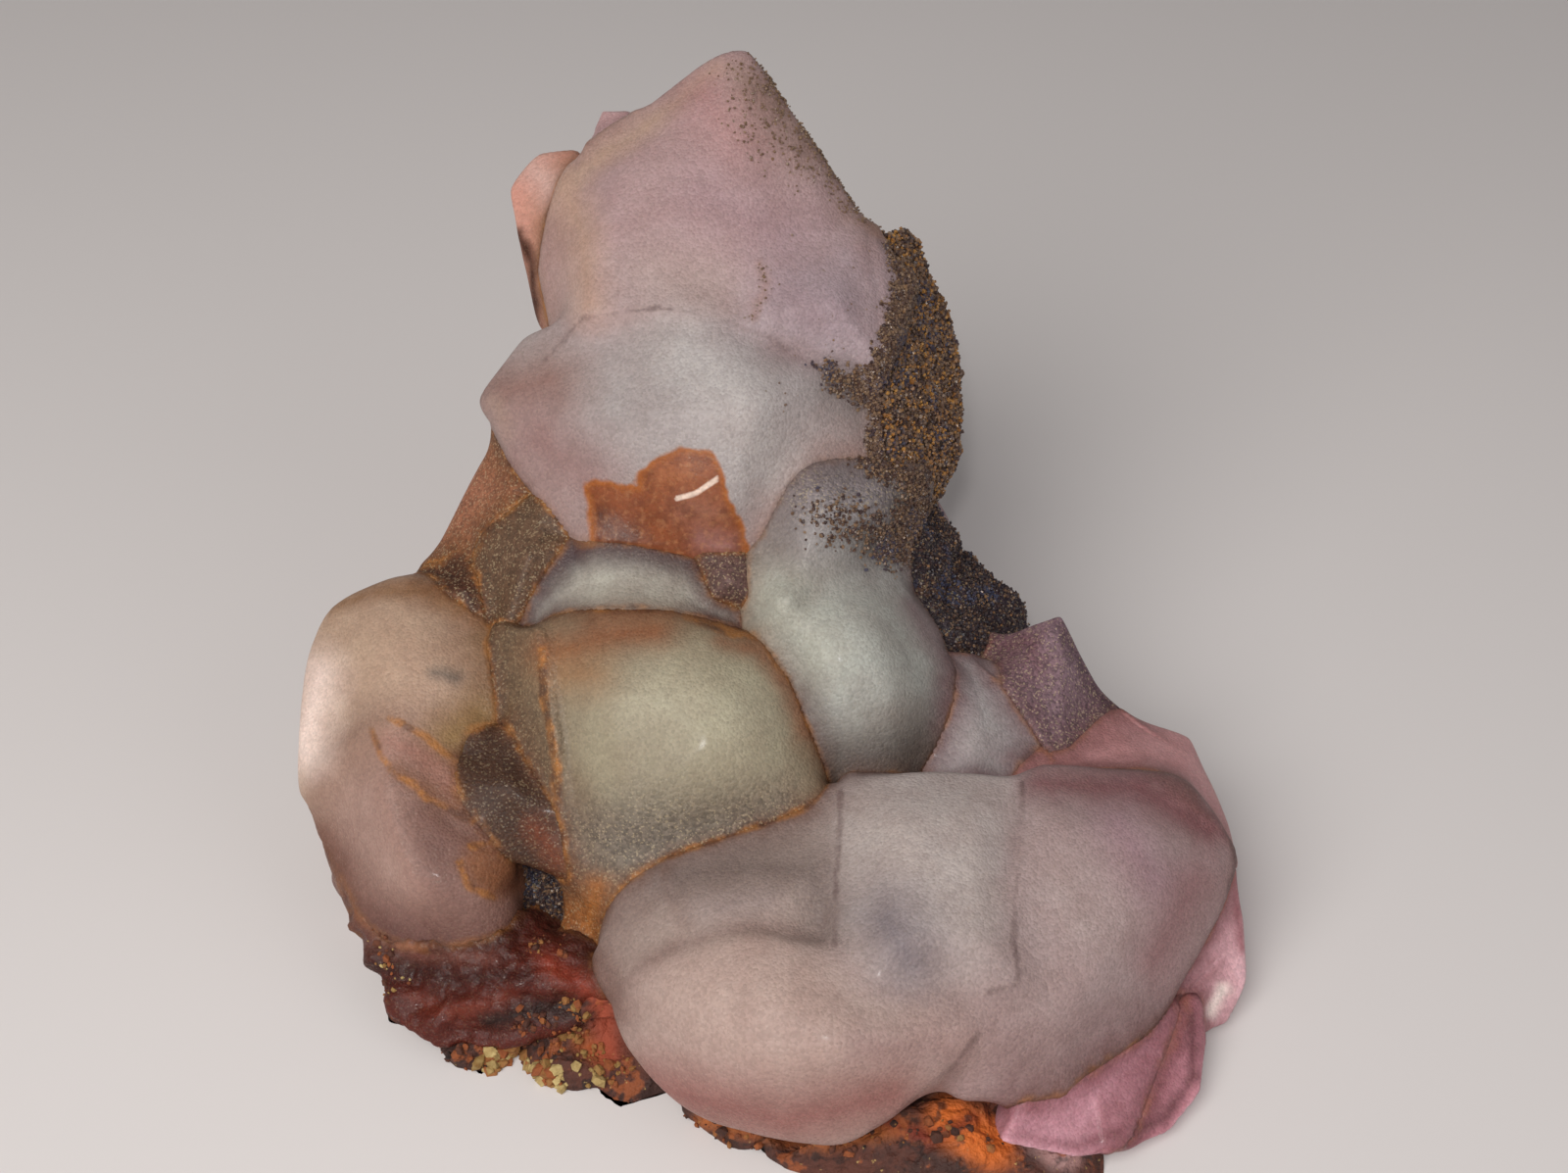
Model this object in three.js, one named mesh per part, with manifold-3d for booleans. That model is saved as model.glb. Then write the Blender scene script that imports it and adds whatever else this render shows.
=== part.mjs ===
// A hand specimen of frosted, lavender-grey chalcedony: stubby quartz points grown into one mass and skinned
// over, on a remnant of the iron-stained rock that they grew on. Millimetres, +Z up. The origin is on the flat
// underside.
import * as THREE from "three";
import { ConvexHull } from "three/addons/math/ConvexHull.js";
import { ConvexGeometry } from "three/addons/geometries/ConvexGeometry.js";
import { mergeVertices } from "three/addons/utils/BufferGeometryUtils.js";
import Module from "manifold-3d";

// The front of the specimen is one long slope. Its points are laid out on a face plane that lies square to a
// line of sight looking down on that slope: u runs right and v runs up the plane, as seen from EYE mm away, and
// w is the height off it, towards the eye.
const EYE = 220;
const SIGHT_DEG = 40;
const PLANE_HEIGHT = 28;

// How a stone is rounded by its chalcedony skin: a higher number keeps flatter faces and sharper edges.
const SOFT = 10;
const CRISP = 18;

const SKIN = 0.4; // how far the skin stands out of the corners given below
const TAPER = 0.62; // a point's width down at its root, as a share of its width at the shoulder
const DEPTH_OF_CENTRE = 0.3; // how far its centre lies from the shoulder towards the root
const FINENESS = 0.56; // how finely a stone is faceted: its ball's detail for each root of a millimetre of reach
const GAP = 0.35; // between the quartz and the rock

const CRYSTALS = [
  // The tall point at the top and what leans on it.
  {
    name: "crown",
    soft: 24,
    root: [-6, 14, -18],
    corners: [
      [-3.2, 56.6, 1], [-7.6, 55.6, 0], [-22, 42.3, -5], [-24, 33, -5], [-22.6, 26, -4],
      [-18.8, 37.9, 1], [-19.7, 28, 3], [-3.8, 44.6, 3.5], [-2.8, 28, 6], [7.6, 38.2, -4],
      [10.2, 35.6, -6], [10, 25.8, -3], [2.5, 40, -20], [-14, 40, -22], [-18, 26, -24], [10, 26, -24],
    ],
  },
  {
    name: "crown_facet",
    soft: CRISP,
    root: [4, 20, -14],
    corners: [
      [-0.8, 31.9, 4], [-2.8, 26.8, 6], [9.1, 22.7, 4], [12.6, 31, -2], [7, 35, 0], [5, 29, 6],
    ],
  },
  {
    name: "crown_knob",
    soft: SOFT,
    root: [-13, 42, -14],
    corners: [
      [-18.6, 46.6, -7], [-18.2, 47.9, -7], [-16.4, 47.6, -6], [-15.6, 45.6, -5], [-18, 45, -5],
    ],
  },
  {
    name: "crown_spur",
    soft: SOFT,
    root: [-18, 28, -20],
    corners: [
      [-21.4, 43.8, -10], [-24.8, 43.6, -11], [-27.6, 40.2, -10], [-26.9, 36.6, -9], [-25.2, 34, -8],
      [-24.6, 27, -8], [-21.6, 27, -5], [-21.4, 39.4, -6],
    ],
  },
  {
    name: "collar",
    soft: SOFT,
    root: [-8, 10, -20],
    corners: [
      [-30.8, 19, -1], [-26, 25.2, -2], [-16.4, 28.5, 3], [-8.8, 28.7, 5], [-3.8, 26.8, 5],
      [9.1, 22.9, 1], [13.5, 15.8, -4], [10, 13.5, 1], [-1, 10.8, 5], [-3.5, 2.2, 4], [-19.4, 4, 4],
      [-26.3, 12.3, 1], [-14, 16, 9], [-3, 18.8, 10.5], [-6, 9, 9],
    ],
  },
  {
    name: "smoky_dome",
    soft: SOFT,
    root: [4, 6, -18],
    corners: [
      [-3.8, 7.3, 3], [-2.5, 10.8, 3], [0, 13.3, 3], [4, 14.9, 2], [8, 14.8, 0], [11.5, 13.8, -2],
      [14.2, 11.3, -4], [14, 8.8, -4], [10.5, 0, 1], [-3.5, 0.5, 5], [3, 9, 9], [8, 8, 7], [2, 3, 9],
    ],
  },
  // Two lumps of the dark right flank, and the dark steps below them.
  {
    name: "dark_flank",
    soft: SOFT,
    root: [4, 18, -24],
    corners: [
      [14.8, 30.6, -12], [16.2, 28.8, -12], [17.3, 25, -12], [17.8, 21.3, -11], [17.8, 17.8, -10],
      [17.4, 12.6, -9], [14.7, 8.4, -7], [11, 20, -2], [10.5, 26.8, -4], [11, 11, -4],
    ],
  },
  {
    name: "dark_shoulder",
    soft: SOFT,
    root: [2, 26, -20],
    corners: [
      [12.3, 35.8, -8], [13.6, 34.7, -9], [14, 31.6, -9], [13.4, 28.6, -9], [8, 35, -3], [10, 26, -3],
    ],
  },
  {
    name: "dark_step_upper",
    soft: CRISP,
    root: [6, 2, -26],
    corners: [
      [13, 9.4, -8], [17, 5.2, -10], [17.4, 3.2, -10], [15, -1, -4], [11, 0, -2], [10.5, 4.5, -3],
    ],
  },
  {
    name: "dark_step_lower",
    soft: CRISP,
    root: [10, -4, -28],
    corners: [
      [16, 3.6, -11], [18.9, 3.1, -12], [22, -1, -12], [24.3, -3, -12], [24.8, -4.6, -11],
      [19, -6.6, -7], [14, -2, -5], [18, -1.5, -8],
    ],
  },
  {
    name: "dark_step_front",
    soft: CRISP,
    root: [12, -6, -20],
    corners: [
      [14, -0.5, -2], [17.5, -2.5, -5], [21, -5.6, -7], [20.8, -7.2, -6], [18.5, -7.8, -4],
      [16, -7.6, -2], [13.5, -4, -1],
    ],
  },
  // The stair of domes down the middle.
  {
    name: "arch",
    soft: SOFT,
    root: [-14, -4, -14],
    corners: [
      [-27.9, -5.1, 2], [-26.9, -2, 3], [-25.1, 0.9, 3], [-23.3, 3.3, 3], [-18.7, 5.5, 3],
      [-15.7, 5.5, 4], [-10.3, 3.9, 4], [-6.5, 0.9, 5], [-3.7, -3, 5], [-2.2, -7, 5], [-10, -14, 5],
      [-24, -14, 5], [-18, -2, 9], [-11, -3, 9.5],
    ],
  },
  {
    name: "arch_end",
    soft: CRISP,
    root: [-6, -2, -12],
    corners: [
      [-9.5, 4, 2], [-4.3, 4.6, 2], [-3.2, 2.3, 3], [-3, -2, 4], [-8, -2, 4], [-5.5, 0.6, 7],
    ],
  },
  {
    name: "heart",
    soft: SOFT,
    root: [-10, -14, -12],
    corners: [
      [-25.3, -4.6, 9], [-22.8, -4.6, 10], [-19.3, -2.9, 10], [-13.7, -3.2, 11], [-9.8, -3.4, 11],
      [-6.5, -4.6, 11], [-2.2, -6.1, 10], [0.9, -10.8, 10], [2.2, -15, 10], [2.1, -18, 10],
      [5, -23.5, 12], [-5.2, -26.6, 14], [-13.9, -30.2, 14], [-18, -33, 13], [-21.3, -28, 12],
      [-22.3, -24.8, 11.5], [-23.6, -15.9, 11], [-25.1, -8.5, 10], [-20, -9, 15], [-8, -9, 16.5],
      [-4, -14, 16.5], [-8, -21, 18], [-17, -21, 17],
    ],
  },
  {
    name: "heart_side",
    soft: CRISP,
    root: [-22, -14, -10],
    corners: [
      [-28.9, -5, 5], [-29.6, -8.5, 5], [-29.9, -12, 5], [-28.9, -15, 6], [-25.6, -22, 8],
      [-22.3, -26.5, 9], [-25.2, -5, 9], [-23.4, -16, 12],
    ],
  },
  {
    name: "pearl_small",
    soft: SOFT,
    root: [0, -3, -10],
    corners: [
      [-3.5, 0.8, 4], [-2.5, 2.2, 4], [0, 2.9, 4], [3, 2, 6], [2.2, -4.9, 8.5], [-1, -6.4, 8],
      [-3, -5.4, 7], [0, -1.5, 11.5],
    ],
  },
  {
    name: "pearl",
    soft: SOFT,
    root: [6, -8, -14],
    corners: [
      [3, 2.8, 5], [8, 2.8, 3], [11, 0.9, 3], [14, -2.6, 3], [16, -6.7, 3], [16.9, -10.2, 4],
      [16.1, -13.7, 5], [14, -17.4, 6], [11.5, -20.4, 7], [7, -20.8, 8], [3, -19, 8], [1, -10, 7],
      [-1, -6.7, 7], [4, -6, 12.5], [9, -4, 11.5], [11, -12, 12], [5, -14, 12],
    ],
  },
  // The right shoulder, above the big lobe.
  {
    name: "grey_slope",
    soft: SOFT,
    root: [18, -14, -14],
    corners: [
      [15.5, -7.2, 0], [18, -7.6, -1], [21.5, -8.9, -1], [26.3, -13, -1], [28, -16.2, 0],
      [23, -21.5, 4], [19, -21.5, 5], [13.5, -21, 5], [13, -12, 2], [19, -12, 4.5], [19, -17, 7],
    ],
  },
  {
    name: "little_pyramid",
    soft: 26,
    root: [24, -14, -22],
    corners: [
      [28, -3.6, -1], [20, -6.7, -6], [23.4, -10.4, 1], [28.2, -17.2, 2.5], [33.4, -14.2, -4],
      [27, -10, -16],
    ],
  },
  {
    name: "right_band",
    soft: CRISP,
    root: [34, -22, -14],
    corners: [
      [26, -14.5, -2], [33, -13.6, -3], [39.6, -15.2, -4], [41.2, -15.8, -4], [42.6, -19.1, -3],
      [45.2, -25.2, 0], [45.8, -28, 3], [40, -22, 8], [24.5, -20.4, 6], [36, -18, 4.5],
    ],
  },
  // The big lobe at the lower right: four points grown side by side.
  {
    name: "lobe_left",
    soft: SOFT,
    root: [-6, -34, 0],
    corners: [
      [5.8, -21.5, 12], [0, -24.9, 14], [-5, -26.3, 15], [-11, -28.1, 15.5], [-15.1, -30.6, 15],
      [-17.6, -34.1, 15], [-19, -37.2, 15], [-18.2, -40.2, 16], [5.5, -38, 22], [-14, -46, 20],
      [4, -44, 24], [-8, -34, 22], [2, -30, 21], [-12, -40, 21],
    ],
  },
  {
    name: "lobe_middle",
    soft: CRISP,
    root: [14, -30, -2],
    corners: [
      [7, -20, 12], [11, -19.6, 13], [16, -19.1, 13], [20, -19.5, 13], [24, -20, 13], [23.5, -27.2, 17],
      [23, -36.2, 22], [24, -41, 25.5], [15, -41.7, 27.5], [8, -41, 27.5], [5.2, -36.7, 25],
      [5.5, -29.2, 20], [5.6, -22.2, 14], [12, -24, 20], [19, -24, 19.5], [20, -36, 27],
      [12, -36, 28.5],
    ],
  },
  {
    name: "lobe_right",
    soft: 14,
    root: [29, -33, -4],
    corners: [
      [24.5, -19.9, 12], [26, -18.6, 11], [30, -18.5, 10], [36, -19.6, 9], [40, -20.3, 8], [43, -23, 8],
      [45.9, -27.7, 9], [44.6, -32.2, 11], [40.6, -39.4, 14], [36.2, -44.9, 17], [27, -51, 22],
      [18.5, -51.6, 24], [20, -40, 26], [27, -24, 18], [36, -25, 16.5], [38, -32, 18], [30, -41, 25],
      [22, -45, 27], [24, -30, 22],
    ],
  },
  {
    name: "lobe_foot",
    soft: SOFT,
    root: [18, -44, 8],
    corners: [
      [11.5, -41.5, 26], [23.5, -40.5, 25], [27.5, -46, 23], [27, -50.4, 22], [18.5, -51, 23],
      [13.5, -51, 24], [18, -46, 28],
    ],
  },
  {
    name: "lobe_front",
    soft: SOFT,
    root: [1, -44, 8],
    corners: [
      [-16, -41.2, 19], [-12.5, -38.5, 22], [-3.2, -35.6, 25], [4, -37.3, 26], [12.5, -42.5, 28],
      [18.5, -44.2, 28], [19.2, -45.9, 28], [17, -49, 27], [10, -54.9, 26], [6, -57.1, 25],
      [0, -56.4, 24.5], [-8.5, -54.3, 22], [-11, -52.7, 21], [-15, -48.7, 20], [-16.9, -44.2, 19],
      [-8, -44, 28], [0, -42, 30.5], [8, -47, 32], [-2, -50, 31],
    ],
  },
  // Small points under the overhanging right edge.
  {
    name: "skirt_back",
    soft: CRISP,
    root: [36, -34, -6],
    corners: [
      [45, -29.4, 6], [46, -33.2, 6], [47, -36.7, 6], [46.5, -40.4, 8], [44.6, -43.9, 9],
      [41.4, -44.6, 11], [37, -42, 12], [40, -32, 9],
    ],
  },
  {
    name: "skirt_middle",
    soft: CRISP,
    root: [32, -45, 4],
    corners: [
      [41.5, -43, 12], [42.1, -46.2, 13], [41.8, -50.9, 16], [38.5, -54.9, 18.5], [33.8, -56.1, 20],
      [33.5, -51, 18], [38.4, -43.6, 13],
    ],
  },
  {
    name: "skirt_front",
    soft: CRISP,
    root: [26, -48, 8],
    corners: [
      [26, -50.8, 22], [33, -46.8, 18], [39, -43.6, 13.5], [35, -51.7, 19.5], [34, -55.9, 21],
      [30, -57.4, 22.5], [23, -56, 24],
    ],
  },
  // The left lobe.
  {
    name: "left_upper",
    soft: SOFT,
    root: [-34, -10, -16],
    corners: [
      [-48, -5, -2], [-46.6, -2.4, -2], [-44.2, -0.8, -1], [-38.8, 0.8, 0], [-35.4, -0.8, 1],
      [-31.4, -2.8, 2], [-28.8, -5.5, 3], [-29.8, -10.2, 4], [-28.8, -15.8, 6], [-31.6, -17.5, 7],
      [-48.2, -8.7, -1], [-49, -11.8, 0], [-50.8, -18, 0], [-48.2, -21.8, 1], [-42, -6, 6],
      [-36, -5, 6.5], [-34, -11, 9], [-40, -15, 9.5], [-46, -16, 4],
    ],
  },
  {
    name: "left_lower",
    soft: SOFT,
    root: [-33, -26, -6],
    corners: [
      [-47.1, -23.8, 2], [-46, -27.5, 3], [-44.8, -31.5, 4], [-41.7, -35.9, 6], [-37, -37.4, 9],
      [-30, -36.8, 11], [-25.5, -35.4, 12], [-24.6, -28.6, 11], [-27.4, -25.7, 11], [-31.4, -23.3, 11],
      [-32, -20.2, 10.5], [-35, -17, 10], [-39.6, -14.3, 10], [-42.4, -15.4, 8], [-47, -19.5, 4],
      [-41, -20, 13.5], [-36, -22, 14.5], [-38, -30, 16], [-31, -31, 15.5],
    ],
  },
  {
    name: "brown_wedge",
    soft: CRISP,
    root: [-25, -19, -8],
    corners: [
      [-31.6, -15.6, 5], [-28.2, -15.4, 5], [-26, -18.7, 6], [-22.4, -23.8, 8], [-20.8, -30, 9],
      [-25.8, -30, 9], [-30, -27, 8.5], [-33, -23, 8], [-33.5, -19, 7], [-28, -21, 9.5],
    ],
  },
  // The heart's stained lower corner, and the floor of the small cavity beside it.
  {
    name: "heart_corner",
    soft: CRISP,
    root: [-17, -28, -4],
    corners: [
      [-22, -26, 10], [-21.8, -31, 9.5], [-21.2, -35.6, 9], [-19.4, -37.6, 9], [-17, -36.4, 11],
      [-15.4, -33, 13], [-14.5, -29.5, 14], [-18.5, -30, 13.5],
    ],
  },
  {
    name: "cavity_floor",
    soft: CRISP,
    root: [-23, -28, -4],
    corners: [
      [-26.5, -26, 6], [-22, -26, 6], [-20.5, -31, 6], [-20.8, -36, 6], [-24.5, -37, 5.5], [-27.5, -32, 5.5],
    ],
  },
  // The sparkling ledges left of the collar.
  {
    name: "left_ledge",
    soft: CRISP,
    root: [-18, 8, -20],
    corners: [
      [-27.4, 18, -5], [-28.8, 14, -6], [-32, 9, -7], [-33.6, 4.4, -7], [-36.4, 0.8, -5],
      [-31, -1, -1], [-24, 4.5, -1], [-20, 5.8, -1], [-24, 14, -1], [-28, 9, 0],
    ],
  },
  {
    name: "grey_wedge",
    soft: CRISP,
    root: [-21, 1, -14],
    corners: [
      [-30.4, 2.1, 0], [-29.9, 4.6, 0], [-26.3, 7.5, 1], [-23.6, 9.2, 1], [-19.2, 5.2, 1],
      [-23.4, 3, 3], [-26.8, -1.4, 3.5], [-28.3, -4.2, 3.5], [-29.5, -5.8, 2.5], [-30.8, -3.9, 1],
      [-31.2, -0.4, 0], [-26.2, 3, 5],
    ],
  },
  {
    name: "rust_wedge",
    soft: CRISP,
    root: [-28, -2, -12],
    corners: [
      [-36, 1, -4], [-32.4, 2.1, -2], [-30.6, 1.2, -1], [-30, -3.2, 0.5], [-29.2, -6, 1.5],
      [-32.4, -5, 0], [-38.6, -1.4, -3], [-32.5, -0.5, 2],
    ],
  },
];

// Stubby points on the sides and the back, which the slope above hides: six-sided, each from the middle of its
// base to its tip, in the part's own frame.
const STUBS = [
  { name: "back_crown", base: [-4, 18, 30], tip: [-2, 44, 53], width: 20 },
  { name: "back_crown_right", base: [0, 20, 24], tip: [10, 42, 39], width: 17 },
  { name: "back_crown_left", base: [-12, 18, 24], tip: [-23, 41, 41], width: 18 },
  { name: "back_middle", base: [-8, 14, 14], tip: [-8, 45, 30], width: 21 },
  { name: "back_left", base: [-14, 12, 12], tip: [-31, 36, 26], width: 18 },
  { name: "back_right", base: [2, 12, 12], tip: [14, 38, 23], width: 17 },
  { name: "back_low_left", base: [-12, 14, 8], tip: [-30, 39, 13], width: 21 },
  { name: "back_low", base: [-4, 14, 9], tip: [-7, 45, 14], width: 21 },
  { name: "back_low_right", base: [4, 12, 7], tip: [18, 37, 11], width: 20 },
  { name: "left_back", base: [-22, 4, 8], tip: [-41, 17, 15], width: 18 },
  { name: "left_side", base: [-28, -6, 4], tip: [-48, -2, 9], width: 18 },
  { name: "left_low", base: [-28, -16, 2], tip: [-46, -19, 5], width: 15 },
  { name: "right_back", base: [8, 4, 4], tip: [24, 18, 8], width: 16 },
  { name: "right_side", base: [16, -6, 3], tip: [32, 5, 8], width: 15 },
  { name: "right_low", base: [22, -14, 3], tip: [42, -8, 6], width: 14 },
];
const STUB_SIDES = 6;
const STUB_SOFT = 14;
const SHOULDER = 0.62; // where a stub's sides end and its pyramid starts
const STUB_WAIST = 0.85; // a stub's width at its base, as a share of its width at the shoulder

// What the points grow from: one mass of quartz from the rock up to the crown, in the part's own frame.
const MASSES = [
  {
    name: "column",
    corners: [
      [-16, 0, 2], [12, -2, 2], [-20, 30, 2], [10, 30, 2], [-20, 34, 24], [10, 34, 24], [-12, 34, 50],
      [0, 34, 50], [6, 12, 34], [-18, 10, 34], [-10, 0, 26], [5, 2, 26],
    ],
  },
  {
    name: "left_mass",
    corners: [
      [-40, -4, 2], [-40, -20, 2], [-22, -30, 2], [-34, 14, 2], [-19, 16, 25], [-36, 0, 16], [-36, -14, 12],
      [-12, -20, 16], [-8, -28, 2], [-8, 10, 2],
    ],
  },
  {
    name: "right_mass",
    corners: [
      [-12, -38, 2], [28, -40, 2], [38, -26, 2], [38, -4, 2], [22, 16, 2], [6, 4, 26], [24, -2, 12],
      [32, -14, 10], [-8, -22, 16], [22, -28, 12], [-6, 8, 2],
    ],
  },
];

// The rock that the quartz grew on, as broken lumps: the middle of each, its size, and its turns about Z and
// about X.
const LUMPS = [
  { at: [-3, -6, -1], size: [82, 74, 13], turn: 8, tilt: 0 },
  { at: [-31, -23, 1], size: [20, 15, 12], turn: -34, tilt: 14 },
  { at: [-34, -30, 0], size: [13, 9, 7], turn: 12, tilt: -16 },
  { at: [-24, -31, 2], size: [17, 12, 13], turn: -58, tilt: -12 },
  { at: [-15, -34, 3], size: [15, 12, 13], turn: 24, tilt: 16 },
  { at: [-29, -35, 0], size: [11, 9, 8], turn: 40, tilt: 18 },
  { at: [-21, -38, 0], size: [11, 8, 7], turn: -20, tilt: -14 },
  { at: [-14, -40, -1], size: [10, 7, 9], turn: 12, tilt: 10 },
  { at: [-5, -43, 1], size: [14, 10, 11], turn: -34, tilt: 12 },
  { at: [4, -48, 0], size: [15, 9, 10], turn: -22, tilt: -12 },
  { at: [14, -49, 1], size: [16, 11, 10], turn: 6, tilt: 10 },
  { at: [24, -48, 0], size: [13, 12, 8], turn: 34, tilt: -8 },
  { at: [18, -36, 2], size: [40, 26, 13], turn: 10, tilt: 0 },
  { at: [-36, -12, 1], size: [18, 18, 11], turn: 18, tilt: -12 },
  { at: [-30, 8, 1], size: [20, 16, 12], turn: 46, tilt: 8 },
  { at: [-22, 25, 2], size: [22, 18, 14], turn: 24, tilt: 10 },
  { at: [-6, 33, 1], size: [24, 16, 12], turn: -10, tilt: 14 },
  { at: [10, 27, 2], size: [20, 18, 13], turn: -32, tilt: -10 },
  { at: [22, 10, 1], size: [18, 24, 11], turn: 34, tilt: 6 },
  { at: [32, -14, 0], size: [18, 26, 10], turn: 12, tilt: 8 },
];
const LUMP_CORNERS = 17;
const SQUARENESS = 3; // how boxy a lump is: 2 would make it an egg
const CHIPPING = 0.24; // how far its corners are broken away, as a share of its size
const CHIP_STRIDE = new THREE.Vector2(31, 7); // sets each lump's own chipping from where it lies

// Where pieces of rock have dropped out.
const PITS = [
  { at: [-17, -39, 5], size: [7, 6, 5], turn: 20, tilt: 20 },
  { at: [-24, -36, 5], size: [7, 5, 5], turn: -25, tilt: 0 },
  { at: [-31, -31, 5], size: [6, 5, 4], turn: 40, tilt: 10 },
  { at: [0, -49, 3], size: [6, 5, 3], turn: 10, tilt: 0 },
];

const QUARTZ = new THREE.MeshStandardMaterial({ color: 0xb3a8ac, roughness: 0.5, metalness: 0 });
const RUSTY_ROCK = new THREE.MeshStandardMaterial({ color: 0x5a3122, roughness: 0.85, metalness: 0 });

const rad = THREE.MathUtils.degToRad;
const sightTurn = new THREE.Matrix4()
  .makeTranslation(0, 0, PLANE_HEIGHT)
  .multiply(new THREE.Matrix4().makeRotationX(rad(90 - SIGHT_DEG)));

// A place read at u, v and w, in the part's own frame.
function onSlope([u, v, w]) {
  const nearer = (EYE - w) / EYE;
  return new THREE.Vector3(u * nearer, v * nearer, w).applyMatrix4(sightTurn);
}

function middleOf(points) {
  return points.reduce((sum, p) => sum.add(p), new THREE.Vector3()).divideScalar(points.length);
}

// Two triangles of a shape belong to one flat face where they lean and lie alike, within these.
const SAME_LEAN = 0.9995;
const SAME_PLACE = 0.05;

// The flat faces of the convex shape round some points, each as a normal and a distance from a centre inside it.
function facesRound(points, centre) {
  const faces = [];
  for (const { normal, constant } of new ConvexHull().setFromPoints(points).faces) {
    const distance = constant - normal.dot(centre);
    const isKnown = faces.some((face) => {
      return face.normal.dot(normal) > SAME_LEAN && Math.abs(face.distance - distance) < SAME_PLACE;
    });
    if (!isKnown) {
      faces.push({ normal: normal.clone(), distance });
    }
  }
  return faces;
}

// One of the twelve corners of an icosahedron.
const BALL_CORNER = new THREE.Vector3(-1, (1 + Math.sqrt(5)) / 2, 0).normalize();

// A convex stone with its edges and corners rounded: each vertex of a ball is moved out to the stone's faces.
// The ball is first turned so that one of its corners points at the stone's tip, which keeps the tip sharp.
function roundedStone({ points, centre = middleOf(points), soft, skin = SKIN }) {
  const faces = facesRound(points, centre);
  const tip = points.reduce((far, p) => (p.distanceTo(centre) > far.distanceTo(centre) ? p : far));
  const reach = tip.clone().sub(centre);
  const stone = new THREE.IcosahedronGeometry(1, Math.round(FINENESS * Math.sqrt(reach.length())));
  stone.applyQuaternion(new THREE.Quaternion().setFromUnitVectors(BALL_CORNER, reach.normalize()));
  const at = stone.getAttribute("position");
  const ray = new THREE.Vector3();
  for (let i = 0; i < at.count; i++) {
    ray.fromBufferAttribute(at, i).normalize();
    const leans = faces.map(({ normal, distance }) => Math.max(0, normal.dot(ray) / (distance + skin)));
    const sum = leans.reduce((total, lean) => total + lean ** soft, 0);
    ray.multiplyScalar((2 / sum) ** (1 / soft)).add(centre);
    at.setXYZ(i, ray.x, ray.y, ray.z);
  }
  return stone;
}

// A crystal of the slope: its shoulder as laid out above, narrowing to its root inside the specimen.
function crystal({ corners, root, soft }) {
  const shoulder = corners.map(onSlope);
  const middle = middleOf(shoulder);
  const foot = onSlope(root);
  const inner = shoulder.map((p) => p.clone().sub(middle).multiplyScalar(TAPER).add(foot));
  const centre = middle.clone().lerp(foot, DEPTH_OF_CENTRE);
  return roundedStone({ points: [...shoulder, ...inner], centre, soft });
}

function stub({ base, tip, width }) {
  const foot = new THREE.Vector3(...base);
  const point = new THREE.Vector3(...tip);
  const axis = point.clone().sub(foot).normalize();
  const across = new THREE.Vector3(0, 0, 1).cross(axis).normalize();
  const ring = (share, radius) => Array.from({ length: STUB_SIDES }, (_, i) => across.clone()
    .multiplyScalar(radius)
    .applyAxisAngle(axis, (i * 2 * Math.PI) / STUB_SIDES)
    .add(foot.clone().lerp(point, share)));
  const points = [...ring(0, (width / 2) * STUB_WAIST), ...ring(SHOULDER, width / 2), point];
  return roundedStone({ points, soft: STUB_SOFT });
}

function mass({ corners }) {
  return new ConvexGeometry(corners.map((p) => new THREE.Vector3(...p)));
}

// A lump of broken rock: corners spread evenly over a boxy egg, each knocked in by its own amount, with flat
// faces in between.
function lump({ at, size, turn, tilt }, room = 0) {
  const turned = new THREE.Matrix4()
    .makeRotationFromEuler(new THREE.Euler(rad(tilt), 0, rad(turn), "ZYX"))
    .setPosition(...at);
  const half = new THREE.Vector3(...size).multiplyScalar(0.5).addScalar(room);
  const goldenTurn = Math.PI * (3 - Math.sqrt(5));
  const points = [];
  for (let i = 0; i < LUMP_CORNERS; i++) {
    const height = 1 - (2 * i + 1) / LUMP_CORNERS;
    const round = Math.sqrt(1 - height * height);
    const along = i * goldenTurn;
    const corner = new THREE.Vector3(round * Math.cos(along), round * Math.sin(along), height);
    const bulk = corner.toArray().reduce((sum, c) => sum + Math.abs(c) ** SQUARENESS, 0);
    const boxy = bulk ** (-1 / SQUARENESS);
    const seed = at[0] * CHIP_STRIDE.x + at[1] * CHIP_STRIDE.y + i;
    const chipped = 1 - CHIPPING * THREE.MathUtils.seededRandom(seed);
    points.push(corner.multiplyScalar(boxy * chipped).multiply(half).applyMatrix4(turned));
  }
  return new ConvexGeometry(points);
}

const wasm = await Module();
wasm.setup();

const SAME_CORNER = 1e-4;

function solidOf(geometry) {
  const bare = geometry.clone().deleteAttribute("normal").deleteAttribute("uv");
  const merged = mergeVertices(bare, SAME_CORNER);
  return new wasm.Manifold(new wasm.Mesh({
    numProp: 3,
    vertProperties: merged.getAttribute("position").array,
    triVerts: new Uint32Array(merged.getIndex().array),
  }));
}

function joined(geometries) {
  return geometries.map(solidOf).reduce((whole, piece) => whole.add(piece));
}

const GROUND_WIDTH = 300;
const GROUND_DEPTH = 60;

// Everything below the surface that the specimen stands on.
function ground() {
  const slab = new THREE.BoxGeometry(GROUND_WIDTH, GROUND_WIDTH, GROUND_DEPTH);
  return solidOf(slab.translate(0, 0, -GROUND_DEPTH / 2));
}

function meshOf(name, solid, material) {
  const { vertProperties, triVerts } = solid.getMesh();
  const geometry = new THREE.BufferGeometry();
  geometry.setAttribute("position", new THREE.BufferAttribute(vertProperties, 3));
  geometry.setIndex(new THREE.BufferAttribute(triVerts, 1));
  geometry.computeVertexNormals();
  const mesh = new THREE.Mesh(geometry, material);
  mesh.name = name;
  return mesh;
}

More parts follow.
